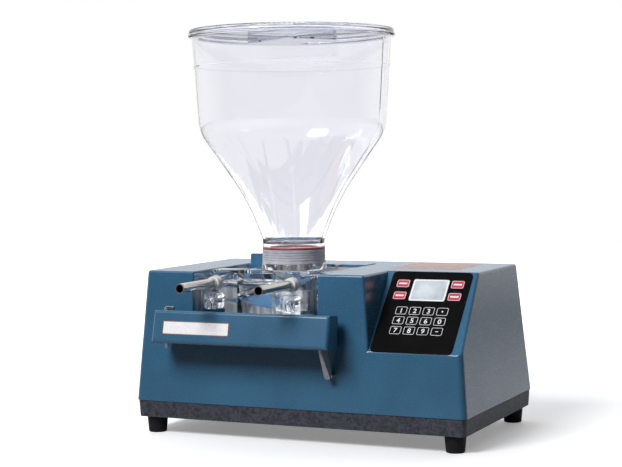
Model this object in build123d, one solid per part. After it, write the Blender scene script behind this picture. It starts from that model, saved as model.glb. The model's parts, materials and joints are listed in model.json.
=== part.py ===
from build123d import *
import math
import os

# Countertop pastry filler: drafted housing on a tray, gear pump in an open bay, two filling
# nozzles, a clear hopper with lid, a keypad on a slope and a hinged trigger bar.
# X runs to the right, Y to the back, Z up from the bench, in millimetres.

# Housing, tray and feet
HOUSING_WIDTH = 440.0
HOUSING_DEPTH = 265.0
HOUSING_HEIGHT = 164.0
SIDE_DRAFT = 13.0
FRONT_DRAFT = 9.0
BACK_DRAFT = 19.0
WALL = 3.5
CORNER_RADIUS = 7.0
EDGE_RADIUS = 3.0
TRAY_HEIGHT = 21.0
TRAY_WALL = 3.0
TRAY_INSET = 0.9
TRAY_TAPER = 1.2
VENT_LENGTH = 60.0
VENT_WIDTH = 5.0
VENT_PITCH = 14.0
VENT_ROWS = 6
VENT_SHARE = 0.23
FOOT_HEIGHT = 21.0
FOOT_RADIUS = 11.4
FOOT_FLARE = 1.8
FOOT_INSET = 19.8
SCREW_RADIUS = 2.5
SCREW_HEAD_RADIUS = 4.5
SCREW_HEAD_HEIGHT = 3.5
SCREW_CLEARANCE = 0.1
POST_RADIUS = 8.0
CORNER_BLOCK = 30.0
CORNER_BLOCK_HEIGHT = 26.0

# Sloped control field at the right
SLOPE_ANGLE = 46.5
SLOPE_RISE = 90.7
NOTCH_MARGIN_TOP = 8.5
NOTCH_MARGIN_FOOT = 1.5

# Pump bay, open at the front and the top
BAY_CENTRE_X = -55.0
BAY_WIDTH = 170.0
BAY_LENGTH = 198.0
BAY_CLEARANCE = 1.0
BAY_EDGE_RADIUS = 2.2

# Pump block, gears and clear parts
BLOCK_WIDTH = 104.0
BLOCK_FRONT = 43.0
BLOCK_LENGTH = 123.0
GEAR_MODULE = 3.0
GEAR_TEETH = 12
PRESSURE_ANGLE = 25.0
GEAR_BACKLASH = 0.2
GEAR_WIDTH = 29.7
GEAR_END_GAP = 0.15
GEAR_TIP_GAP = 0.35
GEAR_FROM_FRONT = 73.0
SHAFT_RADIUS = 6.0
RUNNING_FIT = 0.05
IDLER_BORE_DEPTH = 13.0
SEAL_RADIUS = 10.0
SEAL_HEIGHT = 5.6
INLET_RADIUS = 28.0
HOPPER_FROM_FRONT = 125.0
OUTLET_WIDTH = 20.0
OUTLET_HEIGHT = 16.0
OUTLET_BELOW_TOP = 4.0
MANIFOLD_FRONT = 9.0
MANIFOLD_LIFT = 0.8
WINDOW_WIDTH = 48.0
WINDOW_DEPTH = 16.0
CHANNEL_RADIUS = 4.5
FEED_RADIUS = 6.0
CAP_WIDTH = 39.0
CAP_LENGTH = 28.0
CAP_HEIGHT = 4.5
CAP_FROM_BAY = 44.0
TOP_PLATE_HEIGHT = 8.0
PLATE_DROP = 2.0
NECK_BOSS_RADIUS = 42.0
NECK_BOSS_HEIGHT = 7.0
PLATE_SCREW_RADIUS = 2.0
PLATE_SCREW_LENGTH = 10.0
PLATE_SCREW_INSET = 6.0
PLATE_SCREW_HEAD_RADIUS = 3.6
PLATE_SCREW_HEAD_HEIGHT = 2.6
COVER_THICKNESS = 2.5
COVER_SKIRT = 38.0
TAB_WIDTH = 19.0
TAB_HEIGHT = 13.5
TAB_THICKNESS = 3.0
TAB_X = -120.5
TAB_FROM_FRONT = 150.0

# Nozzles, their collars and the clamp knobs below them
NOZZLE_FROM_BAY = 33.0
NOZZLE_REACH = 85.0
NOZZLE_RADIUS = 6.0
NOZZLE_BORE = 4.8
NOZZLE_STEP = 0.5
NOZZLE_STEP_GAP = 0.5
PORT_RADIUS = 8.3
PORT_DEPTH = 27.0
PORT_ROOF = 2.7
SPIGOT_RADIUS = 8.0
SPIGOT_LENGTH = 21.0
COLLAR_RADIUS = 9.0
COLLAR_TIP_RADIUS = 8.2
COLLAR_LENGTH = 10.0
SEAT_GAP = 0.3
KNOB_COLLAR_GAP = 0.2
KNOB_FLOOR_GAP = 11.0
KNOB_RADIUS = 12.4
KNOB_LENGTH = 16.0
KNOB_CORNER = 5.0
KNOB_EDGE = 1.4
KNOB_SLOTS = 3
SLOT_PITCH = 6.2
SLOT_WIDTH = 3.6
SLOT_DEPTH = 2.4
SLOT_SHARE = 0.76
STUD_RADIUS = 3.0
STUD_IN_KNOB = 12.0
STUD_IN_EAR = 9.0
EAR_WIDTH = 20.0
EAR_HEIGHT = 24.0
EAR_LENGTH = 14.0

# Inlet collar, sealing ring, hopper and lid
INLET_COLLAR_RADIUS = 40.8
INLET_COLLAR_BORE = 34.5
INLET_COLLAR_HEIGHT = 18.0
THREAD_PITCH = 3.2
THREAD_DEPTH = 0.9
THREAD_TURNS = 4
RING_SECTION = 1.4
HOPPER_WALL = 3.0
HOPPER_SPIGOT_RADIUS = 34.0
HOPPER_SPIGOT_LENGTH = 19.6
HOPPER_RING_RADIUS = 40.0
CONE_START_HEIGHT = 10.0
CONE_MID_RADIUS = 80.4
CONE_MID_HEIGHT = 91.5
CONE_TOP_RADIUS = 112.0
CONE_TOP_HEIGHT = 136.5
SHOULDER_RADIUS = 121.0
SHOULDER_HEIGHT = 162.0
HOPPER_TOP_RADIUS = 128.0
HOPPER_HEIGHT = 274.0
RIM_RADIUS = 132.5
RIM_HEIGHT = 6.0
LID_THICKNESS = 3.5
LID_RING_RADIUS = 124.0
LID_RING_WALL = 3.0
LID_RING_DEPTH = 8.0
WELL_LENGTH = 112.0
WELL_WIDTH = 62.0
WELL_DEPTH = 14.0
WELL_TURN = -30.0

# Trigger bar, its hinge pin, arm and plunger
BAR_FROM_SIDE = 45.5
BAR_PAST_BAY = 33.0
BAR_KNOB_GAP = 1.0
BAR_TOP_EDGE = (-30.0, 2.8)
BAR_BOTTOM_EDGE = (-40.0, -37.3)
BAR_TOP_BACK = (-6.5, 0.0)
BAR_BOTTOM_BACK = (-10.0, -40.0)
BAR_SHEET = 2.5
BAR_CORNER = 4.0
PIN_FROM_END = 8.5
PIN_FROM_FRONT = -15.0
PIN_RADIUS = 2.25
PIN_BEND = 2.9
PIN_HANDLE = 12.0
PIN_TIP_DROP = 5.5
LUG_RADIUS = 5.2
LUG_GAP_LOW = 6.0
LUG_GAP_HIGH = 4.0
LUG_PLATE = 3.0
ARM_FROM_END = 13.0
ARM_TIP_WIDTH = 7.6
ARM_ROOT_WIDTH = 2.6
ARM_ROOT = (-34.0, -13.0)
ARM_TIP_THICKNESS = 4.0
ARM_TIP_CORNER = 3.0
ARM_DROP = 32.0
PLUNGER_RADIUS = 4.0
PLUNGER_OUT = 7.5
FLANGE_RADIUS = 6.5
FLANGE_THICKNESS = 2.0
STEM_RADIUS = 2.5
SPRING_LENGTH = 14.0
SPRING_WIRE = 0.5
SPRING_TURNS = 6
SWITCH_SIZE = (20.0, 22.0, 18.0)

# Control panel, in x and in distance up the slope
PANEL_WIDTH = 102.5
PANEL_FROM_SIDE = 19.0
PANEL_S = (0.8, 123.3)
PANEL_THICKNESS = 3.0
PANEL_PROUD = 1.2
PANEL_CORNER = 6.0
PANEL_CLEARANCE = 0.2
KEY_WIDTH = 14.5
KEY_HEIGHT = 12.0
KEY_PITCH_X = 17.4
KEY_PITCH_S = 14.9
KEY_FROM_LEFT = 25.05
KEY_FIRST_S = 62.6
KEY_CORNER = 2.0
KEY_THICKNESS = 1.9
KEY_PROUD = 0.5
KEY_CLEARANCE = 0.2
KEY_POCKET = 2.0
SOFT_KEY_WIDTH = 16.0
SOFT_KEY_HEIGHT = 11.5
SOFT_KEY_FROM_LEFT = (16.9, 86.9)
SOFT_KEY_S = (104.2, 85.5)
WINDOW_FROM_LEFT = 52.5
WINDOW_S = 94.9
LENS_WIDTH = 46.0
LENS_HEIGHT = 33.2
LENS_THICKNESS = 1.5
LENS_LEDGE = 2.5
MODULE_HEIGHT = 9.6
BOARD_THICKNESS = 1.6
BOARD_MARGIN = 8.0
BOSS_RADIUS = 4.0
# Connector, processor, relay and buzzer: place on the board, size and height
BOARD_PARTS = (
    (-20.0, -25.0, 26.0, 10.0, 9.0),
    (22.0, -22.0, 16.0, 16.0, 6.0),
    (-18.0, 20.0, 14.0, 20.0, 4.0),
    (20.0, 22.0, 20.0, 12.0, 12.0),
)

# Drive under the bay floor, power parts
BRACKET_SIZE = (110.0, 90.0, 3.5)
GEARBOX_SIZE = (74.0, 74.0, 26.0)
MOTOR_RADIUS = 30.0
MOTOR_HEIGHT = 52.0
DOG_RADIUS = 7.0
DOG_TONGUE = (10.6, 4.6, 5.0)
DOG_SLOT_WIDTH = 5.0
DOG_SLOT_DEPTH = 6.0
SUPPLY_SIZE = (110.0, 72.0, 40.0)
SUPPLY_SHEET = 2.0
SUPPLY_STANDOFF = 4.0
SUPPLY_COIL = 26.0
SUPPLY_SINK = 4.0
CAPACITOR_RADIUS = 7.0
SUPPLY_FROM_SIDE = 100.0
SUPPLY_FROM_BACK = 105.0
INLET_FROM_SIDE = 70.0
SWITCH_FROM_SIDE = 122.0
REAR_HEIGHT = 82.0
INLET_FLANGE = (50.0, 24.0, 2.0)
INLET_BODY = (27.0, 19.6, 18.0)
INLET_SOCKET = (23.6, 16.2, 14.5)
BEZEL_SIZE = (24.0, 31.0, 2.0)
BEZEL_BODY = (20.0, 27.0, 14.0)
ROCKER_WIDTH = 15.0
ROCKER_LENGTH = 22.0
ROCKER_REST = 8.0

# Places worked out from the sizes above
FRONT_Y = NOZZLE_REACH - (HOUSING_DEPTH + NOZZLE_REACH) / 2
BACK_Y = FRONT_Y + HOUSING_DEPTH
MIDDLE_Y = (FRONT_Y + BACK_Y) / 2
TRAY_TOP = FOOT_HEIGHT + TRAY_HEIGHT
HOUSING_TOP = TRAY_TOP + HOUSING_HEIGHT
PLATE_TOP = HOUSING_TOP - PLATE_DROP
NOZZLE_Z = PLATE_TOP - PORT_ROOF - PORT_RADIUS
KNOB_Z = NOZZLE_Z - COLLAR_RADIUS - KNOB_COLLAR_GAP - KNOB_RADIUS
BAY_FLOOR = KNOB_Z - KNOB_RADIUS - KNOB_FLOOR_GAP
HOPPER_Y = FRONT_Y + HOPPER_FROM_FRONT
BLOCK_FRONT_Y = FRONT_Y + BLOCK_FRONT
BLOCK_BACK_Y = BLOCK_FRONT_Y + BLOCK_LENGTH
BLOCK_TOP = PLATE_TOP - TOP_PLATE_HEIGHT
GEAR_Y = FRONT_Y + GEAR_FROM_FRONT
GEAR_PITCH_RADIUS = GEAR_MODULE * GEAR_TEETH / 2
GEAR_OUTER_RADIUS = GEAR_PITCH_RADIUS + 0.95 * GEAR_MODULE
CAVITY_FLOOR = BLOCK_TOP - GEAR_WIDTH - 2 * GEAR_END_GAP
DRIVE_X = BAY_CENTRE_X + GEAR_PITCH_RADIUS
IDLER_X = BAY_CENTRE_X - GEAR_PITCH_RADIUS
MANIFOLD_FRONT_Y = FRONT_Y + MANIFOLD_FRONT
CHANNEL_Y = BLOCK_FRONT_Y - CHANNEL_RADIUS * 2
CHANNEL_Z = NOZZLE_Z - 3
NOZZLE_SPACING = BAY_WIDTH - 2 * NOZZLE_FROM_BAY
NOZZLE_X = (BAY_CENTRE_X - NOZZLE_SPACING / 2, BAY_CENTRE_X + NOZZLE_SPACING / 2)
NOZZLE_TIP_Y = FRONT_Y - NOZZLE_REACH
BOSS_TOP = PLATE_TOP + NECK_BOSS_HEIGHT
INLET_COLLAR_TOP = BOSS_TOP + INLET_COLLAR_HEIGHT
HOPPER_BASE = INLET_COLLAR_TOP + 2 * RING_SECTION + 0.2
HOPPER_TOP = HOPPER_BASE + HOPPER_HEIGHT
BAR_LEFT = BAR_FROM_SIDE - HOUSING_WIDTH / 2
BAR_RIGHT = BAY_CENTRE_X + BAY_WIDTH / 2 + BAR_PAST_BAY
BAR_Z = KNOB_Z - KNOB_RADIUS - BAR_KNOB_GAP
BAR_TOP_Z = BAR_Z + BAR_TOP_EDGE[1]
BAR_BOTTOM_Z = BAR_Z + BAR_BOTTOM_EDGE[1]
BAR_UNDERSIDE = BAR_Z + BAR_BOTTOM_BACK[1]
PIN_X = BAR_LEFT + PIN_FROM_END
PIN_Y = FRONT_Y + PIN_FROM_FRONT
PIN_TIP_Z = BAR_UNDERSIDE - PIN_TIP_DROP
LUG_LOW = BAR_UNDERSIDE + LUG_GAP_LOW
LUG_HIGH = BAR_Z - LUG_GAP_HIGH
ARM_X = BAR_RIGHT - ARM_FROM_END
PLUNGER_Z = BAR_UNDERSIDE - ARM_DROP
BAY_UNDERSIDE = BAY_FLOOR - WALL
SLOPE_FOOT_Z = HOUSING_TOP - SLOPE_RISE
PANEL_RIGHT = HOUSING_WIDTH / 2 - PANEL_FROM_SIDE
PANEL_LEFT = PANEL_RIGHT - PANEL_WIDTH
WINDOW_X = PANEL_LEFT + WINDOW_FROM_LEFT
INLET_X = INLET_FROM_SIDE - HOUSING_WIDTH / 2
SWITCH_X = SWITCH_FROM_SIDE - HOUSING_WIDTH / 2
BACK_LEAN = math.degrees(math.atan2(BACK_DRAFT, HOUSING_HEIGHT))
BASE_MIN = (Align.CENTER, Align.CENTER, Align.MIN)
BASE_MAX = (Align.CENTER, Align.CENTER, Align.MAX)


def front_wall_y(z):
    """Y of the drafted front wall's outside at height z."""
    return FRONT_Y + FRONT_DRAFT * (z - TRAY_TOP) / HOUSING_HEIGHT


def back_wall_y(z):
    """Y of the drafted back wall's outside at height z."""
    return BACK_Y - BACK_DRAFT * (z - TRAY_TOP) / HOUSING_HEIGHT


SLOPE = Plane(
    origin=(0, front_wall_y(SLOPE_FOOT_Z), SLOPE_FOOT_Z),
    x_dir=(1, 0, 0),
    z_dir=(0, -math.sin(math.radians(SLOPE_ANGLE)), math.cos(math.radians(SLOPE_ANGLE))),
)
REAR_WALL = Plane(
    origin=(0, back_wall_y(REAR_HEIGHT), REAR_HEIGHT),
    x_dir=(-1, 0, 0),
    z_dir=(0, math.cos(math.radians(BACK_LEAN)), math.sin(math.radians(BACK_LEAN))),
)


def upright(radius, x, y, low, high):
    """Vertical cylinder between two heights."""
    return Pos(x, y, low) * Cylinder(radius, high - low, align=BASE_MIN)


def along_y(radius, x, z, front, back):
    """Cylinder along Y from front to back."""
    return Pos(x, front, z) * Rot(-90, 0, 0) * Cylinder(radius, back - front, align=BASE_MIN)


def block(x0, x1, y0, y1, z0, z1):
    """Box between two corners."""
    return Pos((x0 + x1) / 2, (y0 + y1) / 2, (z0 + z1) / 2) * Box(x1 - x0, y1 - y0, z1 - z0)


def on_slope(width, height, thickness, x, s, top, corner):
    """Rounded plate on the slope, centred at x and s, with its top face at height top."""
    outline = RectangleRounded(width, height, corner)
    return SLOPE * Pos(x, s, top - thickness) * extrude(outline, thickness)


def drafted_section(side, front, back, z, radius):
    """Rounded rectangle inside the housing's base outline, inset on each side."""
    depth = HOUSING_DEPTH - front - back
    return Pos(0, FRONT_Y + front + depth / 2, z) * RectangleRounded(
        HOUSING_WIDTH - 2 * side, depth, radius
    )


def drafted_body(inset, low, high):
    """Solid of the housing's drafted form, inset by a wall, between two heights."""
    sections = []
    for z in (low, high):
        share = (z - TRAY_TOP) / HOUSING_HEIGHT
        sections.append(
            drafted_section(
                inset + SIDE_DRAFT * share,
                inset + FRONT_DRAFT * share,
                inset + BACK_DRAFT * share,
                z,
                CORNER_RADIUS - inset,
            )
        )
    return loft(sections)


def control_notch(wall):
    """Space above the sloped field, grown by a wall."""
    above = Box(2 * HOUSING_WIDTH, 2 * HOUSING_DEPTH, HOUSING_DEPTH, align=BASE_MIN)
    above = SLOPE * Pos(0, 0, -wall) * above
    lean = (NOTCH_MARGIN_TOP - NOTCH_MARGIN_FOOT) / (HOUSING_TOP - SLOPE_FOOT_Z)
    low, high = SLOPE_FOOT_Z - 40, HOUSING_TOP + 20
    left_at_top = PANEL_LEFT - NOTCH_MARGIN_TOP - wall
    left_low = left_at_top + lean * (HOUSING_TOP - low)
    left_high = left_at_top + lean * (HOUSING_TOP - high)
    outline = Polyline(
        (left_low, low), (HOUSING_WIDTH, low), (HOUSING_WIDTH, high), (left_high, high), close=True
    )
    side = extrude(Plane.XZ * make_face(outline), HOUSING_DEPTH, both=True)
    return above & side


def bay_space(wall):
    """Pump bay, grown by a wall."""
    half = BAY_WIDTH / 2 + wall
    return block(
        BAY_CENTRE_X - half,
        BAY_CENTRE_X + half,
        FRONT_Y - 50,
        FRONT_Y + BAY_LENGTH + wall,
        BAY_FLOOR - wall,
        HOUSING_TOP + 50,
    )


def corner_places():
    """X and Y of the four feet and their screws."""
    x = HOUSING_WIDTH / 2 - FOOT_INSET
    return [
        (side * x, y)
        for side in (-1, 1)
        for y in (FRONT_Y + FOOT_INSET, BACK_Y - FOOT_INSET)
    ]


def panel_size():
    """Width, height and centre of the control panel on the slope."""
    return (
        PANEL_WIDTH,
        PANEL_S[1] - PANEL_S[0],
        PANEL_LEFT + PANEL_WIDTH / 2,
        (PANEL_S[0] + PANEL_S[1]) / 2,
    )


def board_corners():
    """Places of the bosses that carry the control board, in x and s."""
    width, height, x, s = panel_size()
    half_x, half_s = width / 2 - BOARD_MARGIN - BOSS_RADIUS, height / 2 - BOARD_MARGIN - BOSS_RADIUS
    return [(x + i * half_x, s + j * half_s) for i in (-1, 1) for j in (-1, 1)]


def same_edge(edge, edges):
    """True if the edge is one of these."""
    return any(edge.is_same(other) for other in edges)


def field_edges(body):
    """Outer edges of the top, the slope and the wall beside it, each once."""
    top = body.faces().sort_by(Axis.Z)[-1]
    slope = next(f for f in body.faces() if abs(f.normal_at().dot(SLOPE.z_dir)) > 0.999)
    wall = next(f for f in body.faces() if f.normal_at().X > 0.9 and f.center().X < PANEL_LEFT)
    kept = []
    for edge in top.edges() + slope.edges() + wall.edges():
        inner = same_edge(edge, slope.edges()) and same_edge(edge, wall.edges())
        if not inner and not same_edge(edge, kept):
            kept.append(edge)
    return kept


def bay_rim(body):
    """Edges where the bay's side walls meet the top and the front."""
    sides = [
        f for f in body.faces().filter_by(Axis.X)
        if abs(abs(f.center().X - BAY_CENTRE_X) - BAY_WIDTH / 2) < 0.01
    ]
    return [
        edge for side in sides for edge in side.edges()
        if edge.center().Z > BAY_FLOOR + 1 and edge.center().Y < FRONT_Y + BAY_LENGTH - 1
    ]


def make_housing():
    """Drafted shell with the bay, the sloped field, corner blocks and cut-outs."""
    outer = drafted_body(0, TRAY_TOP, HOUSING_TOP) - control_notch(0)
    outer = fillet(field_edges(outer), EDGE_RADIUS) - bay_space(0)
    outer = fillet(bay_rim(outer), BAY_EDGE_RADIUS)
    inner = drafted_body(WALL, TRAY_TOP, HOUSING_TOP - WALL)
    inner -= control_notch(WALL)
    inner -= bay_space(WALL)
    shell = outer - inner
    for x, y in corner_places():
        side, end = math.copysign(1, x), math.copysign(1, y - MIDDLE_Y)
        corner_x = side * (HOUSING_WIDTH / 2)
        corner_y = MIDDLE_Y + end * HOUSING_DEPTH / 2
        reach_x, reach_y = corner_x - side * CORNER_BLOCK, corner_y - end * CORNER_BLOCK
        post = block(
            min(corner_x, reach_x), max(corner_x, reach_x),
            min(corner_y, reach_y), max(corner_y, reach_y),
            TRAY_TOP, TRAY_TOP + CORNER_BLOCK_HEIGHT,
        )
        shell += post & outer
    for x, y in corner_places():
        shell -= upright(
            SCREW_RADIUS + SCREW_CLEARANCE, x, y, TRAY_TOP - 1, TRAY_TOP + CORNER_BLOCK_HEIGHT - 6
        )
    shell -= upright(DOG_RADIUS + 4, DRIVE_X, GEAR_Y, BAY_UNDERSIDE - 1, BAY_FLOOR + 1)
    wall_inside = front_wall_y(PLUNGER_Z) + WALL
    shell += along_y(PLUNGER_RADIUS * 2, ARM_X, PLUNGER_Z, wall_inside - WALL / 2, wall_inside + 3)
    shell -= along_y(PLUNGER_RADIUS + RUNNING_FIT, ARM_X, PLUNGER_Z, FRONT_Y - 5, wall_inside + 4)
    width, height, x, s = panel_size()
    recess = 10
    shell -= on_slope(
        width + 2 * PANEL_CLEARANCE, height + 2 * PANEL_CLEARANCE, recess, x, s,
        PANEL_PROUD - PANEL_THICKNESS + recess, PANEL_CORNER,
    )
    for bx, bs in board_corners():
        shell += SLOPE * Pos(bx, bs, -WALL) * Cylinder(
            BOSS_RADIUS, MODULE_HEIGHT + PANEL_THICKNESS - PANEL_PROUD - WALL, align=BASE_MAX
        )
    shell -= on_slope(LENS_WIDTH, LENS_HEIGHT, 3 * WALL, WINDOW_X, WINDOW_S, 1, 1)
    for centre, size in ((INLET_X, INLET_BODY), (SWITCH_X, BEZEL_BODY)):
        cut = Box(size[0] + 2 * PANEL_CLEARANCE, size[1] + 2 * PANEL_CLEARANCE, 8 * WALL)
        shell -= REAR_WALL * Pos(-centre, 0, 0) * cut
    return shell


def make_tray():
    """Shallow tray that closes the housing from below, with posts and vent slots."""
    def section(inset, z):
        return drafted_section(inset, inset, inset, z, CORNER_RADIUS)

    low_inset = TRAY_INSET + TRAY_TAPER
    outer = loft([section(low_inset, FOOT_HEIGHT), section(TRAY_INSET, TRAY_TOP)])
    tray = outer - extrude(section(low_inset + TRAY_WALL, FOOT_HEIGHT + TRAY_WALL), TRAY_HEIGHT)
    for x, y in corner_places():
        tray += upright(POST_RADIUS, x, y, FOOT_HEIGHT + TRAY_WALL / 2, TRAY_TOP)
    for x, y in corner_places():
        tray -= upright(SCREW_RADIUS + SCREW_CLEARANCE, x, y, FOOT_HEIGHT - 1, TRAY_TOP + 1)
    slot = extrude(SlotOverall(VENT_LENGTH, VENT_WIDTH), 3 * TRAY_WALL)
    for side in (-1, 1):
        for row in range(VENT_ROWS):
            y = MIDDLE_Y + (row - (VENT_ROWS - 1) / 2) * VENT_PITCH
            tray -= Pos(side * HOUSING_WIDTH * VENT_SHARE, y, FOOT_HEIGHT - TRAY_WALL) * slot
    return tray


def make_feet():
    """Four rubber feet, wider at the top, each with a well for its screw's head."""
    outline = Polyline(
        (0, 0), (FOOT_RADIUS - 1, 0), (FOOT_RADIUS, 1), (FOOT_RADIUS + FOOT_FLARE, FOOT_HEIGHT),
        (0, FOOT_HEIGHT), close=True,
    )
    foot = revolve(Plane.XZ * make_face(outline), Axis.Z)
    foot -= upright(SCREW_HEAD_RADIUS + 1, 0, 0, -1, FOOT_HEIGHT / 2)
    foot -= upright(SCREW_RADIUS + SCREW_CLEARANCE, 0, 0, 0, FOOT_HEIGHT + 1)
    return Compound(children=[Pos(x, y, 0) * foot for x, y in corner_places()])


def make_foot_screws():
    """Long screws through feet and tray into the housing's corner blocks."""
    screws = []
    head_top = FOOT_HEIGHT / 2
    for x, y in corner_places():
        screw = upright(SCREW_HEAD_RADIUS, x, y, head_top - SCREW_HEAD_HEIGHT, head_top)
        screw += upright(SCREW_RADIUS, x, y, head_top, TRAY_TOP + CORNER_BLOCK_HEIGHT - 8)
        screws.append(screw)
    return Compound(children=screws)


def involute_flank(base, start, end, steps):
    """Points of an involute of circle base from radius start to radius end."""
    points = []
    for i in range(steps + 1):
        radius = start + (end - start) * i / steps
        pressure = math.acos(min(1.0, base / radius))
        points.append((radius, math.tan(pressure) - pressure))
    return points


def make_gear(x, turn):
    """Pump gear with involute teeth, standing on the cavity floor."""
    root = GEAR_PITCH_RADIUS - 1.2 * GEAR_MODULE
    base = GEAR_PITCH_RADIUS * math.cos(math.radians(PRESSURE_ANGLE))
    pitch_inv = math.tan(math.radians(PRESSURE_ANGLE)) - math.radians(PRESSURE_ANGLE)
    half = math.pi / (2 * GEAR_TEETH) - GEAR_BACKLASH / (2 * GEAR_PITCH_RADIUS)
    gear = Cylinder(root, GEAR_WIDTH, align=BASE_MIN)
    flank = involute_flank(base, max(base, root), GEAR_OUTER_RADIUS, 4)
    right = [(r, half + pitch_inv - a) for r, a in flank]

    def at(r, angle):
        return (r * math.cos(angle), r * math.sin(angle))

    upper = Spline(*[at(r, a) for r, a in right])
    lower = Spline(*[at(r, -a) for r, a in right])
    tip = RadiusArc(at(*right[-1]), at(right[-1][0], -right[-1][1]), GEAR_OUTER_RADIUS)
    inside = root - 1.5
    foot_up = Line(at(inside, right[0][1]), at(*right[0]))
    foot_low = Line(at(inside, -right[0][1]), at(right[0][0], -right[0][1]))
    close = Line(at(inside, right[0][1]), at(inside, -right[0][1]))
    tooth = extrude(make_face(Curve() + [upper, lower, tip, foot_up, foot_low, close]), GEAR_WIDTH)
    for i in range(GEAR_TEETH):
        gear += Rot(0, 0, 360 * i / GEAR_TEETH) * tooth
    return Pos(x, GEAR_Y, CAVITY_FLOOR + GEAR_END_GAP) * Rot(0, 0, turn) * gear


def make_drive_rotor():
    """Driven gear with its shaft, slotted at the lower end for the drive tongue."""
    gear = make_gear(DRIVE_X, 180)
    low = BAY_FLOOR + 0.2
    gear += upright(SHAFT_RADIUS, DRIVE_X, GEAR_Y, low, CAVITY_FLOOR + 2)
    gear -= Pos(DRIVE_X, GEAR_Y, low) * Box(
        3 * SHAFT_RADIUS, DOG_SLOT_WIDTH, 2 * DOG_SLOT_DEPTH
    )
    return gear


def make_idler_rotor():
    """Second gear with its stub shaft."""
    gear = make_gear(IDLER_X, 180 / GEAR_TEETH)
    low = CAVITY_FLOOR - IDLER_BORE_DEPTH + 0.5
    return gear + upright(SHAFT_RADIUS, IDLER_X, GEAR_Y, low, CAVITY_FLOOR + 2)


def make_pump_block():
    """Steel block with the gear cavity, the inlet chamber, the outlet and two side ears."""
    half = BLOCK_WIDTH / 2
    body = block(
        BAY_CENTRE_X - half, BAY_CENTRE_X + half, BLOCK_FRONT_Y, BLOCK_BACK_Y, BAY_FLOOR, BLOCK_TOP
    )
    body = fillet(body.edges().filter_by(Axis.Z).sort_by(Axis.Y)[-2:], 6)
    for x in NOZZLE_X:
        body += block(
            x - EAR_WIDTH / 2, x + EAR_WIDTH / 2, BLOCK_FRONT_Y, BLOCK_FRONT_Y + EAR_LENGTH,
            KNOB_Z - EAR_HEIGHT / 2, KNOB_Z + EAR_HEIGHT / 2,
        )
        body -= along_y(
            STUD_RADIUS + RUNNING_FIT, x, KNOB_Z, BLOCK_FRONT_Y - 1, BLOCK_FRONT_Y + STUD_IN_EAR
        )
    for x in (DRIVE_X, IDLER_X):
        body -= upright(GEAR_OUTER_RADIUS + GEAR_TIP_GAP, x, GEAR_Y, CAVITY_FLOOR, BLOCK_TOP + 1)
    body -= upright(INLET_RADIUS, BAY_CENTRE_X, HOPPER_Y, CAVITY_FLOOR, BLOCK_TOP + 1)
    throat = INLET_RADIUS / 2
    body -= block(
        BAY_CENTRE_X - throat, BAY_CENTRE_X + throat, GEAR_Y + GEAR_MODULE, HOPPER_Y,
        CAVITY_FLOOR, BLOCK_TOP + 1,
    )
    outlet_top = BLOCK_TOP - OUTLET_BELOW_TOP
    body -= block(
        BAY_CENTRE_X - OUTLET_WIDTH / 2, BAY_CENTRE_X + OUTLET_WIDTH / 2,
        BLOCK_FRONT_Y - 1, GEAR_Y - GEAR_MODULE, outlet_top - OUTLET_HEIGHT, outlet_top,
    )
    body -= upright(SHAFT_RADIUS + RUNNING_FIT, DRIVE_X, GEAR_Y, BAY_FLOOR - 1, CAVITY_FLOOR + 1)
    body -= upright(SEAL_RADIUS, DRIVE_X, GEAR_Y, CAVITY_FLOOR - SEAL_HEIGHT, CAVITY_FLOOR + 1)
    body -= upright(
        SHAFT_RADIUS + RUNNING_FIT, IDLER_X, GEAR_Y, CAVITY_FLOOR - IDLER_BORE_DEPTH, CAVITY_FLOOR + 1
    )
    for x, y in plate_screw_places():
        body -= upright(PLATE_SCREW_RADIUS, x, y, BLOCK_TOP - PLATE_SCREW_LENGTH, BLOCK_TOP + 1)
    return body


def plate_screw_places():
    """X and Y of the four screws that hold the clear plate on the block."""
    half = BLOCK_WIDTH / 2 - PLATE_SCREW_INSET
    return [
        (BAY_CENTRE_X + side * half, y)
        for side in (-1, 1)
        for y in (BLOCK_FRONT_Y + PLATE_SCREW_INSET, BLOCK_BACK_Y - PLATE_SCREW_INSET)
    ]


def make_plate_screws():
    """Cap screws of the clear plate."""
    screws = []
    for x, y in plate_screw_places():
        screw = upright(PLATE_SCREW_RADIUS, x, y, BLOCK_TOP - PLATE_SCREW_LENGTH + 1, PLATE_TOP)
        screw += upright(PLATE_SCREW_HEAD_RADIUS, x, y, PLATE_TOP, PLATE_TOP + PLATE_SCREW_HEAD_HEIGHT)
        screws.append(screw)
    return Compound(children=screws)


def make_shaft_seal():
    """Lip seal round the driven shaft, flush with the cavity floor."""
    seal = upright(SEAL_RADIUS, DRIVE_X, GEAR_Y, CAVITY_FLOOR - SEAL_HEIGHT, CAVITY_FLOOR)
    return seal - upright(SHAFT_RADIUS + RUNNING_FIT, DRIVE_X, GEAR_Y, BAY_FLOOR, CAVITY_FLOOR + 1)


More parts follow.
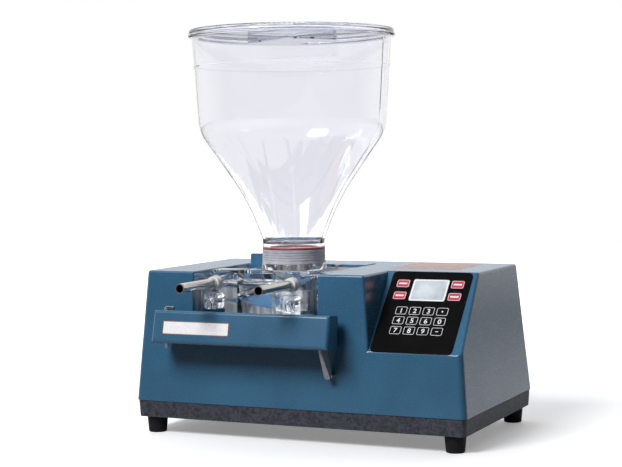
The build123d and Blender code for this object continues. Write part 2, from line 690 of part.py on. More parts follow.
def make_manifold():
    """Clear block that leads the pump's outlet to two nozzle ports, with raised caps."""
    half = BAY_WIDTH / 2 - BAY_CLEARANCE
    low = BAY_FLOOR + MANIFOLD_LIFT
    body = block(
        BAY_CENTRE_X - half, BAY_CENTRE_X + half, MANIFOLD_FRONT_Y, BLOCK_FRONT_Y, low, PLATE_TOP
    )
    body -= block(
        BAY_CENTRE_X - WINDOW_WIDTH / 2, BAY_CENTRE_X + WINDOW_WIDTH / 2,
        MANIFOLD_FRONT_Y - 1, MANIFOLD_FRONT_Y + WINDOW_DEPTH, low - 1, PLATE_TOP + 1,
    )
    for side in (-1, 1):
        cap_x = BAY_CENTRE_X + side * (BAY_WIDTH / 2 - CAP_FROM_BAY)
        cap_y = MANIFOLD_FRONT_Y + 3
        cap = block(
            cap_x - CAP_WIDTH / 2, cap_x + CAP_WIDTH / 2, cap_y, cap_y + CAP_LENGTH,
            PLATE_TOP, PLATE_TOP + CAP_HEIGHT,
        )
        window_edge = BAY_CENTRE_X + side * WINDOW_WIDTH / 2
        overhang = block(
            min(window_edge, BAY_CENTRE_X), max(window_edge, BAY_CENTRE_X),
            MANIFOLD_FRONT_Y, MANIFOLD_FRONT_Y + WINDOW_DEPTH, PLATE_TOP - 1, PLATE_TOP + CAP_HEIGHT + 1,
        )
        body += chamfer((cap - overhang).faces().sort_by(Axis.Z)[-1].edges(), 0.8)
    for x in NOZZLE_X:
        body -= along_y(PORT_RADIUS, x, NOZZLE_Z, MANIFOLD_FRONT_Y - 1, MANIFOLD_FRONT_Y + PORT_DEPTH)
        body -= along_y(STUD_RADIUS + 0.2, x, KNOB_Z, MANIFOLD_FRONT_Y - 1, BLOCK_FRONT_Y + 1)
    channel = Rot(0, 90, 0) * Cylinder(CHANNEL_RADIUS, NOZZLE_SPACING)
    body -= Pos(BAY_CENTRE_X, CHANNEL_Y, CHANNEL_Z) * channel
    body -= along_y(FEED_RADIUS, BAY_CENTRE_X, CHANNEL_Z - 4, CHANNEL_Y, BLOCK_FRONT_Y + 1)
    return body


def make_top_plate():
    """Clear plate over the pump with the raised boss that carries the inlet collar."""
    half = BAY_WIDTH / 2 - BAY_CLEARANCE
    plate = block(
        BAY_CENTRE_X - half, BAY_CENTRE_X + half, BLOCK_FRONT_Y, BLOCK_BACK_Y, BLOCK_TOP, PLATE_TOP
    )
    plate += upright(NECK_BOSS_RADIUS, BAY_CENTRE_X, HOPPER_Y, PLATE_TOP, BOSS_TOP)
    plate -= upright(INLET_RADIUS, BAY_CENTRE_X, HOPPER_Y, BLOCK_TOP - 1, BOSS_TOP + 1)
    for x, y in plate_screw_places():
        plate -= upright(PLATE_SCREW_RADIUS + SCREW_CLEARANCE, x, y, BLOCK_TOP - 1, PLATE_TOP + 1)
    return plate


def make_pump_cover():
    """Sheet cover behind the pump with a forward ear and an upright lifting tab."""
    half = BAY_WIDTH / 2 - BAY_CLEARANCE
    left, right = BAY_CENTRE_X - half, BAY_CENTRE_X + half
    back = FRONT_Y + BAY_LENGTH - BAY_CLEARANCE
    top = HOUSING_TOP + 0.5
    cover = block(left, right, BLOCK_BACK_Y, back, top - COVER_THICKNESS, top)
    cover += block(
        left, right, BLOCK_BACK_Y, BLOCK_BACK_Y + COVER_THICKNESS, HOUSING_TOP - COVER_SKIRT, top
    )
    tab_y = FRONT_Y + TAB_FROM_FRONT
    ear = (TAB_X - TAB_WIDTH / 2 - 3, TAB_X + TAB_WIDTH / 2 + 3)
    cover += block(ear[0], ear[1], tab_y, BLOCK_BACK_Y + 1, PLATE_TOP, top)
    tab = block(
        TAB_X - TAB_WIDTH / 2, TAB_X + TAB_WIDTH / 2, tab_y, tab_y + TAB_THICKNESS, top, top + TAB_HEIGHT
    )
    tab = fillet(tab.edges().filter_by(Axis.Y).sort_by(Axis.Z)[-2:], 2)
    neck = upright(NECK_BOSS_RADIUS + SEAT_GAP, BAY_CENTRE_X, HOPPER_Y, PLATE_TOP - SEAT_GAP, BOSS_TOP)
    return cover + tab - neck


def make_inlet_collar():
    """Ring on the boss that the hopper's spigot drops into, ribbed outside."""
    outline = [(INLET_COLLAR_BORE, 0), (INLET_COLLAR_RADIUS, 0)]
    first = (INLET_COLLAR_HEIGHT - THREAD_TURNS * THREAD_PITCH) / 2
    for i in range(THREAD_TURNS):
        foot = first + i * THREAD_PITCH
        outline += [
            (INLET_COLLAR_RADIUS, foot + THREAD_PITCH * 0.25),
            (INLET_COLLAR_RADIUS - THREAD_DEPTH, foot + THREAD_PITCH * 0.45),
            (INLET_COLLAR_RADIUS - THREAD_DEPTH, foot + THREAD_PITCH * 0.55),
            (INLET_COLLAR_RADIUS, foot + THREAD_PITCH * 0.75),
        ]
    outline += [(INLET_COLLAR_RADIUS, INLET_COLLAR_HEIGHT), (INLET_COLLAR_BORE, INLET_COLLAR_HEIGHT)]
    ring = revolve(Plane.XZ * make_face(Polyline(*outline, close=True)), Axis.Z)
    return Pos(BAY_CENTRE_X, HOPPER_Y, BOSS_TOP) * ring


def make_inlet_o_ring():
    """Sealing ring between collar and hopper."""
    ring_radius = INLET_COLLAR_RADIUS - RING_SECTION - 0.4
    return Pos(BAY_CENTRE_X, HOPPER_Y, INLET_COLLAR_TOP + RING_SECTION) * Torus(ring_radius, RING_SECTION)


def hopper_outline(offset):
    """Half section of the hopper, from spigot to rim, moved in by offset."""
    ring = HOPPER_RING_RADIUS - offset
    cone_foot = (ring, CONE_START_HEIGHT)
    cone_mid = (CONE_MID_RADIUS - offset, CONE_MID_HEIGHT)
    cone_top = (CONE_TOP_RADIUS - offset, CONE_TOP_HEIGHT)
    shoulder = (SHOULDER_RADIUS - offset, SHOULDER_HEIGHT)
    rim = (HOPPER_TOP_RADIUS - offset, HOPPER_HEIGHT)
    straight = Line(cone_mid, cone_top)
    lower = TangentArc(cone_mid, cone_foot, tangent=straight % 0 * -1)
    upper = TangentArc(cone_top, shoulder, tangent=straight % 1)
    wall = Line(shoulder, rim)
    return [lower, straight, upper, wall], cone_foot, rim


def make_hopper():
    """Clear blown hopper: spigot, ring, curved cone, drafted wall and rolled rim."""
    curves, foot, rim = hopper_outline(0)
    spigot_low = -HOPPER_SPIGOT_LENGTH
    outer = Curve() + curves + [
        Polyline(rim, (0, rim[1]), (0, spigot_low), (HOPPER_SPIGOT_RADIUS, spigot_low),
                 (HOPPER_SPIGOT_RADIUS, 0), (HOPPER_RING_RADIUS, 0), foot)
    ]
    inner_curves, inner_foot, inner_rim = hopper_outline(HOPPER_WALL)
    bore = HOPPER_SPIGOT_RADIUS - HOPPER_WALL
    inner = Curve() + inner_curves + [
        Polyline(inner_rim, (inner_rim[0], inner_rim[1] + 1), (0, inner_rim[1] + 1), (0, spigot_low - 1),
                 (bore, spigot_low - 1), (bore, CONE_START_HEIGHT - 6), inner_foot)
    ]
    body = revolve(Plane.XZ * make_face(outer), Axis.Z)
    bead = Pos(0, 0, HOPPER_HEIGHT - RIM_HEIGHT) * Cylinder(RIM_RADIUS, RIM_HEIGHT, align=BASE_MIN)
    bead = fillet(bead.edges(), RIM_HEIGHT / 2 - 0.2)
    body += bead
    body -= revolve(Plane.XZ * make_face(inner), Axis.Z)
    return Pos(BAY_CENTRE_X, HOPPER_Y, HOPPER_BASE) * body


def make_lid():
    """Clear lid with a locating ring and a sunk grip well."""
    low = HOPPER_TOP + 0.2
    lid = Cylinder(RIM_RADIUS - 1, LID_THICKNESS, align=BASE_MIN)
    lid = fillet(lid.edges().sort_by(Axis.Z)[-1], 1.5)
    ring = Cylinder(LID_RING_RADIUS, LID_RING_DEPTH, align=BASE_MAX)
    ring -= Cylinder(LID_RING_RADIUS - LID_RING_WALL, LID_RING_DEPTH + 1, align=BASE_MAX)
    lid += ring
    well_wall = HOPPER_WALL - 0.5
    cup = extrude(
        RectangleRounded(WELL_LENGTH + 2 * well_wall, WELL_WIDTH + 2 * well_wall, 10), WELL_DEPTH
    )
    hollow = extrude(RectangleRounded(WELL_LENGTH, WELL_WIDTH, 8), WELL_DEPTH + LID_THICKNESS)
    turn = Rot(0, 0, WELL_TURN)
    lid += turn * Pos(0, 0, LID_THICKNESS - WELL_DEPTH - 1) * cup
    lid -= turn * Pos(0, 0, LID_THICKNESS - WELL_DEPTH - 1 + well_wall) * hollow
    return Pos(BAY_CENTRE_X, HOPPER_Y, low) * lid


def make_nozzle(x):
    """Straight filling tube, turned down a little where it enters its collar."""
    seat = MANIFOLD_FRONT_Y - SEAT_GAP
    tube_back = seat + SPIGOT_LENGTH
    step = seat - COLLAR_LENGTH - NOZZLE_STEP_GAP
    tube = along_y(NOZZLE_RADIUS, x, NOZZLE_Z, NOZZLE_TIP_Y, step)
    tube += along_y(NOZZLE_RADIUS - NOZZLE_STEP, x, NOZZLE_Z, step, tube_back)
    return tube - along_y(NOZZLE_BORE, x, NOZZLE_Z, NOZZLE_TIP_Y - 1, tube_back + 1)


def make_nozzle_collar(x):
    """Tapered collar with the spigot that seats in the port."""
    seat = MANIFOLD_FRONT_Y - SEAT_GAP
    bore = NOZZLE_RADIUS - NOZZLE_STEP
    outline = Polyline(
        (bore, -COLLAR_LENGTH), (COLLAR_TIP_RADIUS, -COLLAR_LENGTH), (COLLAR_RADIUS, 0),
        (SPIGOT_RADIUS, 0), (SPIGOT_RADIUS, SPIGOT_LENGTH), (bore, SPIGOT_LENGTH), close=True,
    )
    collar = revolve(make_face(outline), Axis.Y)
    return Pos(x, seat, NOZZLE_Z) * collar


def make_knob(x):
    """Square clamp knob with rounded corners and arched slots in its face, on its stud."""
    back = MANIFOLD_FRONT_Y - SEAT_GAP
    side = 2 * (KNOB_CORNER + (KNOB_RADIUS - KNOB_CORNER) / math.sqrt(2))
    knob = extrude(RectangleRounded(side, side, KNOB_CORNER), KNOB_LENGTH)
    knob = fillet(knob.edges().group_by(Axis.Z)[-1], KNOB_EDGE)
    low, high = -side / 2 - 1, side * (SLOT_SHARE - 0.5)
    middle, length = (low + high - SLOT_WIDTH / 2) / 2, high - low + SLOT_WIDTH / 2
    slot = extrude(Rot(0, 0, 90) * SlotOverall(length, SLOT_WIDTH), SLOT_DEPTH + 1)
    for i in range(KNOB_SLOTS):
        across = (i - (KNOB_SLOTS - 1) / 2) * SLOT_PITCH
        knob -= Pos(across, middle, KNOB_LENGTH - SLOT_DEPTH) * slot
    knob = Pos(x, back, KNOB_Z) * Rot(90, 0, 0) * knob
    return knob - along_y(STUD_RADIUS + RUNNING_FIT, x, KNOB_Z, back - STUD_IN_KNOB - 0.5, back + 1)


def make_studs():
    """Threaded studs that carry the knobs."""
    front = MANIFOLD_FRONT_Y - SEAT_GAP - STUD_IN_KNOB
    studs = [
        along_y(STUD_RADIUS, x, KNOB_Z, front, BLOCK_FRONT_Y + STUD_IN_EAR - 1)
        for x in NOZZLE_X
    ]
    return Compound(children=studs)


def bar_section(inset):
    """Section of the trigger bar in Y and Z, moved in from face and flanges by inset."""
    def place(point, dy, dz):
        return (FRONT_Y + point[0] + dy, BAR_Z + point[1] + dz)

    grow = 20 if inset else 0
    return make_face(
        Polyline(
            place(BAR_TOP_EDGE, inset, -inset),
            place(BAR_BOTTOM_EDGE, inset, inset),
            place(BAR_BOTTOM_BACK, grow, inset),
            place(BAR_TOP_BACK, grow, -inset),
            close=True,
        )
    )


def make_trigger_bar():
    """Folded pan with a leaning face and pin holes in its flanges."""
    length = BAR_RIGHT - BAR_LEFT
    bar = Pos(BAR_LEFT, 0, 0) * extrude(Plane.YZ * bar_section(0), length)
    face = bar.faces().sort_by(Axis.Y)[0]
    bar = fillet(face.edges(), BAR_CORNER)
    inside = extrude(Plane.YZ * bar_section(BAR_SHEET), length - 2 * BAR_SHEET)
    bar -= Pos(BAR_LEFT + BAR_SHEET, 0, 0) * inside
    return bar - upright(PIN_RADIUS + RUNNING_FIT, PIN_X, PIN_Y, BAR_BOTTOM_Z - 10, BAR_TOP_Z + 10)


def make_hinge_bracket(outer):
    """Lug on the front wall that the hinge pin passes through."""
    back = front_wall_y(LUG_HIGH) + 5
    lug = upright(LUG_RADIUS, PIN_X, PIN_Y, LUG_LOW, LUG_HIGH)
    lug += block(PIN_X - LUG_RADIUS, PIN_X + LUG_RADIUS, PIN_Y, back, LUG_LOW, LUG_HIGH)
    lug += block(
        PIN_X - LUG_RADIUS, PIN_X + 4 * LUG_RADIUS, front_wall_y(LUG_LOW) - LUG_PLATE, back, LUG_LOW, LUG_HIGH
    )
    lug -= upright(PIN_RADIUS + RUNNING_FIT, PIN_X, PIN_Y, LUG_LOW - 1, LUG_HIGH + 1)
    return lug - outer


def pin_handle_height():
    """Height of the bent handle's axis, just above the bar's upper flange."""
    slope = (BAR_TOP_EDGE[1] - BAR_TOP_BACK[1]) / (BAR_TOP_BACK[0] - BAR_TOP_EDGE[0])
    flange_top = BAR_TOP_Z - slope * (PIN_FROM_FRONT - PIN_RADIUS - BAR_TOP_EDGE[0])
    return flange_top + PIN_BEND


def make_hinge_pin():
    """L-shaped drop-in pin."""
    top = pin_handle_height()
    path = FilletPolyline(
        (PIN_X, PIN_Y, PIN_TIP_Z), (PIN_X, PIN_Y, top), (PIN_X + PIN_HANDLE, PIN_Y, top), radius=PIN_BEND
    )
    pin = sweep(Plane(origin=path @ 0, z_dir=path % 0) * Circle(PIN_RADIUS), path)
    return chamfer(pin.edges().sort_by(Axis.Z)[0], 0.6)


def make_trigger_arm(bar):
    """Arm under the bar that reaches back to the plunger, wider at its rounded tip than at its root."""
    tip_back = plunger_front() - SEAT_GAP
    tip_low, root = PLUNGER_Z - PLUNGER_RADIUS, BAR_BOTTOM_Z + 1
    profile = Polyline(
        (FRONT_Y + ARM_ROOT[0], root),
        (tip_back - ARM_TIP_THICKNESS, tip_low),
        (tip_back, tip_low),
        (tip_back, PLUNGER_Z + PLUNGER_RADIUS + 2),
        (FRONT_Y + ARM_ROOT[1], BAR_UNDERSIDE + 1),
        close=True,
    )
    face = Polyline(
        (-ARM_ROOT_WIDTH / 2, root), (-ARM_TIP_WIDTH / 2, tip_low),
        (ARM_TIP_WIDTH / 2, tip_low), (ARM_ROOT_WIDTH / 2, root), close=True,
    )
    face = fillet(make_face(face).vertices().sort_by(Axis.Y)[:2], ARM_TIP_CORNER)
    side = extrude(Plane.YZ * make_face(profile), ARM_TIP_WIDTH, both=True)
    arm = side & extrude(Plane.XZ * face, 2 * HOUSING_DEPTH, both=True)
    return Pos(ARM_X, 0, 0) * arm - bar


def plunger_front():
    """Y of the plunger's outer end at rest."""
    return front_wall_y(PLUNGER_Z) - PLUNGER_OUT


def plunger_flange_front():
    """Y where the plunger's flange rests against the boss inside the wall."""
    return front_wall_y(PLUNGER_Z) + WALL + 3


def make_plunger():
    """Plunger with a flange that stops it and a thin stem into the switch."""
    flange = plunger_flange_front()
    spring = flange + FLANGE_THICKNESS
    plunger = along_y(PLUNGER_RADIUS, ARM_X, PLUNGER_Z, plunger_front(), flange)
    plunger = fillet(plunger.edges().sort_by(Axis.Y)[0], 1.5)
    plunger += along_y(FLANGE_RADIUS, ARM_X, PLUNGER_Z, flange, spring)
    plunger += along_y(STEM_RADIUS, ARM_X, PLUNGER_Z, spring, spring + SPRING_LENGTH + 3)
    return plunger


def make_plunger_spring():
    """Return spring between the flange and the switch."""
    front = plunger_flange_front() + FLANGE_THICKNESS
    radius = STEM_RADIUS + 4 * SPRING_WIRE
    height = SPRING_LENGTH - 2 * SPRING_WIRE
    helix = Helix(pitch=height / SPRING_TURNS, height=height, radius=radius)
    wire = sweep(Plane(origin=helix @ 0, z_dir=helix % 0) * Circle(SPRING_WIRE), helix)
    return Pos(ARM_X, front + SPRING_WIRE, PLUNGER_Z) * Rot(-90, 0, 0) * wire


def make_trigger_switch():
    """Snap switch on a foot that stands on the tray."""
    front = plunger_flange_front() + FLANGE_THICKNESS + SPRING_LENGTH
    width, length, height = SWITCH_SIZE
    body = block(
        ARM_X - width / 2, ARM_X + width / 2, front, front + length,
        PLUNGER_Z - height / 2, PLUNGER_Z + height / 2,
    )
    body += block(
        ARM_X - 3, ARM_X + width / 2, front + 3, front + length,
        FOOT_HEIGHT + TRAY_WALL, PLUNGER_Z - height / 2,
    )
    return body - along_y(STEM_RADIUS + 0.4, ARM_X, PLUNGER_Z, front - 1, front + 12)


def key_places():
    """Name, x and s of each numeric key."""
    names = ("one", "two", "three", "dot", "four", "five", "six", "zero", "seven", "eight", "nine", "dash")
    return [
        (
            f"key_{name}",
            PANEL_LEFT + KEY_FROM_LEFT + KEY_PITCH_X * (i % 4),
            KEY_FIRST_S - KEY_PITCH_S * (i // 4),
        )
        for i, name in enumerate(names)
    ]


def soft_key_places():
    """Name, x and s of each key beside the display."""
    return [
        (f"soft_key_{side}_{level}", PANEL_LEFT + x, s)
        for side, x in zip(("left", "right"), SOFT_KEY_FROM_LEFT)
        for level, s in zip(("upper", "lower"), SOFT_KEY_S)
    ]


def make_panel():
    """Panel plate with a pocket for every key and a stepped window."""
    width, height, x, s = panel_size()
    panel = on_slope(width, height, PANEL_THICKNESS, x, s, PANEL_PROUD, PANEL_CORNER)
    sizes = [(place, KEY_WIDTH, KEY_HEIGHT) for place in key_places()]
    sizes += [(place, SOFT_KEY_WIDTH, SOFT_KEY_HEIGHT) for place in soft_key_places()]
    for (_, key_x, key_s), key_width, key_height in sizes:
        panel -= on_slope(
            key_width + 2 * KEY_CLEARANCE, key_height + 2 * KEY_CLEARANCE, KEY_POCKET + 1,
            key_x, key_s, PANEL_PROUD + 1, KEY_CORNER,
        )
    panel -= on_slope(LENS_WIDTH, LENS_HEIGHT, LENS_THICKNESS + 1, WINDOW_X, WINDOW_S, PANEL_PROUD + 1, 2)
    panel -= on_slope(
        LENS_WIDTH - 2 * LENS_LEDGE, LENS_HEIGHT - 2 * LENS_LEDGE, 2 * PANEL_THICKNESS,
        WINDOW_X, WINDOW_S, PANEL_PROUD, 1,
    )
    return panel


def make_key(x, s, width, height):
    """Key cap that stands a little proud of the panel."""
    return on_slope(width, height, KEY_THICKNESS, x, s, PANEL_PROUD + KEY_PROUD, KEY_CORNER)


def make_lens():
    """Clear lens on the window's ledge."""
    return on_slope(LENS_WIDTH - 0.2, LENS_HEIGHT - 0.2, LENS_THICKNESS, WINDOW_X, WINDOW_S, PANEL_PROUD, 2)


def make_display():
    """Display module between the panel and the board."""
    top = PANEL_PROUD - PANEL_THICKNESS
    return on_slope(LENS_WIDTH - 1, LENS_HEIGHT - 1, MODULE_HEIGHT, WINDOW_X, WINDOW_S, top, 0.9)


def make_board():
    """Circuit board on the bosses under the slope, with its larger components."""
    width, height, x, s = panel_size()
    top = PANEL_PROUD - PANEL_THICKNESS - MODULE_HEIGHT
    board = on_slope(width - 2 * BOARD_MARGIN, height - 2 * BOARD_MARGIN, BOARD_THICKNESS, x, s, top, 2)
    below = top - BOARD_THICKNESS
    for across, up, size_x, size_s, tall in BOARD_PARTS:
        board += on_slope(size_x, size_s, tall, x + across, s + up, below, 0.8)
    return board


def make_motor_bracket():
    """Plate under the bay floor that carries the gearbox."""
    plate = Pos(DRIVE_X, GEAR_Y, BAY_UNDERSIDE) * Box(*BRACKET_SIZE, align=BASE_MAX)
    low = BAY_UNDERSIDE - 2 * BRACKET_SIZE[2]
    return plate - upright(DOG_RADIUS + 4, DRIVE_X, GEAR_Y, low, BAY_UNDERSIDE + 1)


def make_gearbox():
    """Closed gearbox, with a recess for its output hub."""
    top = BAY_UNDERSIDE - BRACKET_SIZE[2]
    case = Pos(DRIVE_X, GEAR_Y, top) * Box(*GEARBOX_SIZE, align=BASE_MAX)
    case = fillet(case.edges().filter_by(Axis.Z), 8)
    return case - upright(DOG_RADIUS + RUNNING_FIT, DRIVE_X, GEAR_Y, top - 10, top + 1)


def make_motor():
    """Motor can under the gearbox with its end boss and terminals."""
    top = BAY_UNDERSIDE - BRACKET_SIZE[2] - GEARBOX_SIZE[2]
    can = upright(MOTOR_RADIUS, DRIVE_X, GEAR_Y, top - MOTOR_HEIGHT, top)
    can = fillet(can.edges().sort_by(Axis.Z)[0], 4)
    can += upright(MOTOR_RADIUS / 3, DRIVE_X, GEAR_Y, top - MOTOR_HEIGHT - 4, top - MOTOR_HEIGHT + 1)
    for side in (-1, 1):
        x = DRIVE_X + side * MOTOR_RADIUS * 0.65
        can += block(x - 3, x + 3, GEAR_Y - 0.5, GEAR_Y + 0.5, top - MOTOR_HEIGHT - 8, top - MOTOR_HEIGHT + 1)
    return can


def make_drive_dog():
    """Output shaft with the tongue that turns the pump."""
    low = BAY_UNDERSIDE - BRACKET_SIZE[2] - 9.5
    high = BAY_FLOOR - 0.3
    dog = upright(DOG_RADIUS, DRIVE_X, GEAR_Y, low, high)
    tongue = Box(*DOG_TONGUE, align=BASE_MIN)
    return dog + Pos(DRIVE_X, GEAR_Y, high) * tongue


def make_power_supply():
    """Open frame supply on the tray floor: folded chassis, board, coil, capacitors and heat sink."""
    width, depth, height = SUPPLY_SIZE
    floor = FOOT_HEIGHT + TRAY_WALL
    board = SUPPLY_SHEET + SUPPLY_STANDOFF

    def part(x0, x1, y0, y1, z0, z1):
        return block(x0 - width / 2, x1 - width / 2, y0 - depth / 2, y1 - depth / 2, z0, z1)

    supply = part(0, width, 0, depth, 0, SUPPLY_SHEET)
    for y in (0, depth - SUPPLY_SHEET):
        supply += part(0, width, y, y + SUPPLY_SHEET, 0, height)
    supply += part(4, width - 4, SUPPLY_SHEET / 2, depth - SUPPLY_SHEET / 2, board, board + SUPPLY_SHEET)
    coil, sink = SUPPLY_COIL, SUPPLY_SINK
    supply += Pos(0, 0, board) * Box(coil, coil, height - board - 10, align=BASE_MIN)
    supply += Pos(width / 4, 0, board) * Box(sink, depth * 0.7, height - board - 8, align=BASE_MIN)
    for i in range(3):
        supply += upright(
            CAPACITOR_RADIUS, (i % 2 - 2.5) * width / 7, (i - 1) * depth / 4, board, height - 6
        )
    x = HOUSING_WIDTH / 2 - SUPPLY_FROM_SIDE
    return Pos(x, BACK_Y - SUPPLY_FROM_BACK, floor) * supply


def make_power_inlet():
    """Three pole inlet in the back wall, flange outside, socket open to the back."""
    flange = extrude(RectangleRounded(INLET_FLANGE[0], INLET_FLANGE[1], 4), INLET_FLANGE[2])
    body = Box(*INLET_BODY, align=BASE_MAX)
    inlet = flange + body
    inlet -= Pos(0, 0, INLET_FLANGE[2]) * Box(*INLET_SOCKET, align=BASE_MAX)
    floor = INLET_FLANGE[2] - INLET_SOCKET[2]
    for pin_x, pin_y in ((-7, -2), (0, 2), (7, -2)):
        inlet += Pos(pin_x, pin_y, floor - 1) * Box(2, 4, 9, align=BASE_MIN)
    return REAR_WALL * Pos(-INLET_X, 0, 0) * inlet


def make_switch_bezel():
    """Frame of the power switch in the back wall."""
    bezel = extrude(RectangleRounded(BEZEL_SIZE[0], BEZEL_SIZE[1], 2), BEZEL_SIZE[2])
    bezel += Box(*BEZEL_BODY, align=BASE_MAX)
    bezel -= Box(ROCKER_WIDTH + 0.6, ROCKER_LENGTH + 1.2, 2 * 8)
    return REAR_WALL * Pos(-SWITCH_X, 0, 0) * bezel


def make_rocker():
    """Rocker with two flat faces that meet over its pivot, held at one end of its throw."""
    half = ROCKER_LENGTH / 2
    rise = half * math.tan(math.radians(ROCKER_REST))
    outline = Polyline((-half, -5), (half, -5), (half, 1.2 + rise), (0, 1.2), (-half, 1.2 + rise), close=True)
    rocker = extrude(Plane.YZ * make_face(outline), ROCKER_WIDTH / 2, both=True)
    rocker = rocker & Rot(0, 90, 0) * Cylinder(half + 0.3, ROCKER_WIDTH)
    return REAR_WALL * Pos(-SWITCH_X, 0, 0) * Rot(ROCKER_REST, 0, 0) * rocker


def main():
    """Build every piece and write it to its own file."""
    outer = drafted_body(0, TRAY_TOP, HOUSING_TOP)
    bar = make_trigger_bar()
    pieces = {
        "housing": make_housing(),
        "base_tray": make_tray(),
        "rubber_feet": make_feet(),
        "foot_screws": make_foot_screws(),
        "hinge_bracket": make_hinge_bracket(outer),
        "hinge_pin": make_hinge_pin(),
        "trigger_bar": bar,
        "trigger_arm": make_trigger_arm(bar),
        "trigger_plunger": make_plunger(),
        "plunger_spring": make_plunger_spring(),
        "trigger_switch": make_trigger_switch(),
        "control_panel": make_panel(),
        "display_lens": make_lens(),
        "display_module": make_display(),
        "control_board": make_board(),
        "motor_bracket": make_motor_bracket(),
        "gearbox": make_gearbox(),
        "motor_can": make_motor(),
        "drive_dog": make_drive_dog(),
        "power_supply": make_power_supply(),
        "power_inlet": make_power_inlet(),
        "switch_bezel": make_switch_bezel(),
        "switch_rocker": make_rocker(),
        "pump_block": make_pump_block(),
        "drive_rotor": make_drive_rotor(),
        "idler_rotor": make_idler_rotor(),
        "shaft_seal": make_shaft_seal(),
        "manifold": make_manifold(),
        "manifold_studs": make_studs(),
        "top_plate": make_top_plate(),
        "top_plate_screws": make_plate_screws(),
        "pump_cover": make_pump_cover(),
        "inlet_collar": make_inlet_collar(),
        "inlet_o_ring": make_inlet_o_ring(),
        "hopper": make_hopper(),
        "hopper_lid": make_lid(),
    }
    for side, x in zip(("left", "right"), NOZZLE_X):
        pieces[f"{side}_nozzle"] = make_nozzle(x)
        pieces[f"{side}_nozzle_collar"] = make_nozzle_collar(x)
        pieces[f"{side}_knob"] = make_knob(x)
    for name, x, s in key_places():
        pieces[name] = make_key(x, s, KEY_WIDTH, KEY_HEIGHT)
    for name, x, s in soft_key_places():
        pieces[name] = make_key(x, s, SOFT_KEY_WIDTH, SOFT_KEY_HEIGHT)
    os.makedirs("parts", exist_ok=True)
    for name, shape in pieces.items():
        export_step(shape, f"parts/{name}.step")
    print(len(pieces), "pieces")


main()
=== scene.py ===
"""Looks of a countertop donut filler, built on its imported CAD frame. Blender 4.5, metres."""

import json
import math

import bpy
from mathutils import Matrix, Vector


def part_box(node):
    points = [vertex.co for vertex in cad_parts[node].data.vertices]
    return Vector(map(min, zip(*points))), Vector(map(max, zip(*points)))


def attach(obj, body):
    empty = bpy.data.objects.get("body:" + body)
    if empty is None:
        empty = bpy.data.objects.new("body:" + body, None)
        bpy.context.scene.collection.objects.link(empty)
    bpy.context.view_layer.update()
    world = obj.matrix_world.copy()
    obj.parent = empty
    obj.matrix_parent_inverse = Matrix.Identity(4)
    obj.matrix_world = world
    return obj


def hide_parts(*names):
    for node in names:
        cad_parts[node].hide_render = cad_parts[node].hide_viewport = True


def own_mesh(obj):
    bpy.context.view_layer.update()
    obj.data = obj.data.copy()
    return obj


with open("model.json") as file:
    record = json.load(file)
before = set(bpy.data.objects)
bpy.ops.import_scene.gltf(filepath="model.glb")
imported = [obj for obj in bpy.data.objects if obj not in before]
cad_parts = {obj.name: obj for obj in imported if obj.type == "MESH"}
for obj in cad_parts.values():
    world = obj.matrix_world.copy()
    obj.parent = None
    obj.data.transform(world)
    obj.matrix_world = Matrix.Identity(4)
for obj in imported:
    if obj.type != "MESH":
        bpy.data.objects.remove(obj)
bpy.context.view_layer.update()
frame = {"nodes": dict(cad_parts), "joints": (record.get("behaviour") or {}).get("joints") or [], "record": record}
NODES = frame["nodes"]
MM = 0.001

# Camera, as solved from the photo: its place, its turns in degrees, lens and sensor in mm
CAMERA_PLACE = (0.8089, -1.8113, 0.3525)
CAMERA_YAW, CAMERA_PITCH, CAMERA_ROLL = 24.45, 2.93, -0.64
CAMERA_LENS, CAMERA_SENSOR = 91.48, 36.0

# Main directions, and those of the sloped control field
RIGHT, BACK, UP = Vector((1, 0, 0)), Vector((0, 1, 0)), Vector((0, 0, 1))
KEY_PRESS = next(j for j in frame["joints"] if j["name"] == "key_one_press")
FIELD_OUT = -Vector(KEY_PRESS["axis"]).normalized()
FIELD_UP = Vector((0, FIELD_OUT.z, -FIELD_OUT.y))

# Printed and applied details, in mm
INK = 0.06
FILM = 0.12
KEY_LINE = 0.55
KEY_LINE_INSET = 0.25
KEY_CORNER = 2.0
DIGIT_HEIGHT = 6.6
DIGIT_WEIGHT = 0.16
DOT_RADIUS = 1.1
DASH_SIZE, DASH_CORNER = (3.4, 1.1), 0.3
SOFT_KEY_BAR, SOFT_KEY_BAR_CORNER = (10.6, 2.3), 0.5
WINDOW_LINE = 2.2
WINDOW_CORNER = 3.2
BAR_PLATE = (91.5, 17.2)
BAR_PLATE_CORNER = 1.2
BAR_PLATE_LINE = 1.2
BAR_PLATE_FROM_LEFT = 60.6
BAR_PLATE_ABOVE = 22.0
TOP_SHEET, TOP_SHEET_CORNER = (88.0, 92.0), 3.0
TOP_SHEET_CENTRE = (122.0, 84.0)
ROCKER_SIGN_HEIGHT = 4.0

# How far from the rocker's middle its signs stand, as a share of its height
ROCKER_SIGN_SHARE = 0.25
# Height of a capital, as a share of the font's size
CAPITAL_SHARE = 0.7

# The level ring's lower and upper height and its rise, and how much the clear pieces shrink, in mm
LEVEL_RING = (462.4, 463.4)
LEVEL_RING_RISE = 0.4
CLEAR_GAP = 0.05
CLEAR_PIECES = ("manifold", "top_plate", "left_knob", "right_knob")

# Mesh making: distance in mm below which points merge, steps of a corner, a disc and a letter,
# edges in radians that are shaded smooth, and the cosine within which a face looks one way
MERGE = 0.001
CORNER_STEPS, DISC_STEPS, LETTER_STEPS = 5, 24, 4
SOFT_EDGE, COIL_EDGE = math.radians(30), math.radians(60)
SAME_WAY, ROCKER_SAME_WAY = 0.9, 0.8

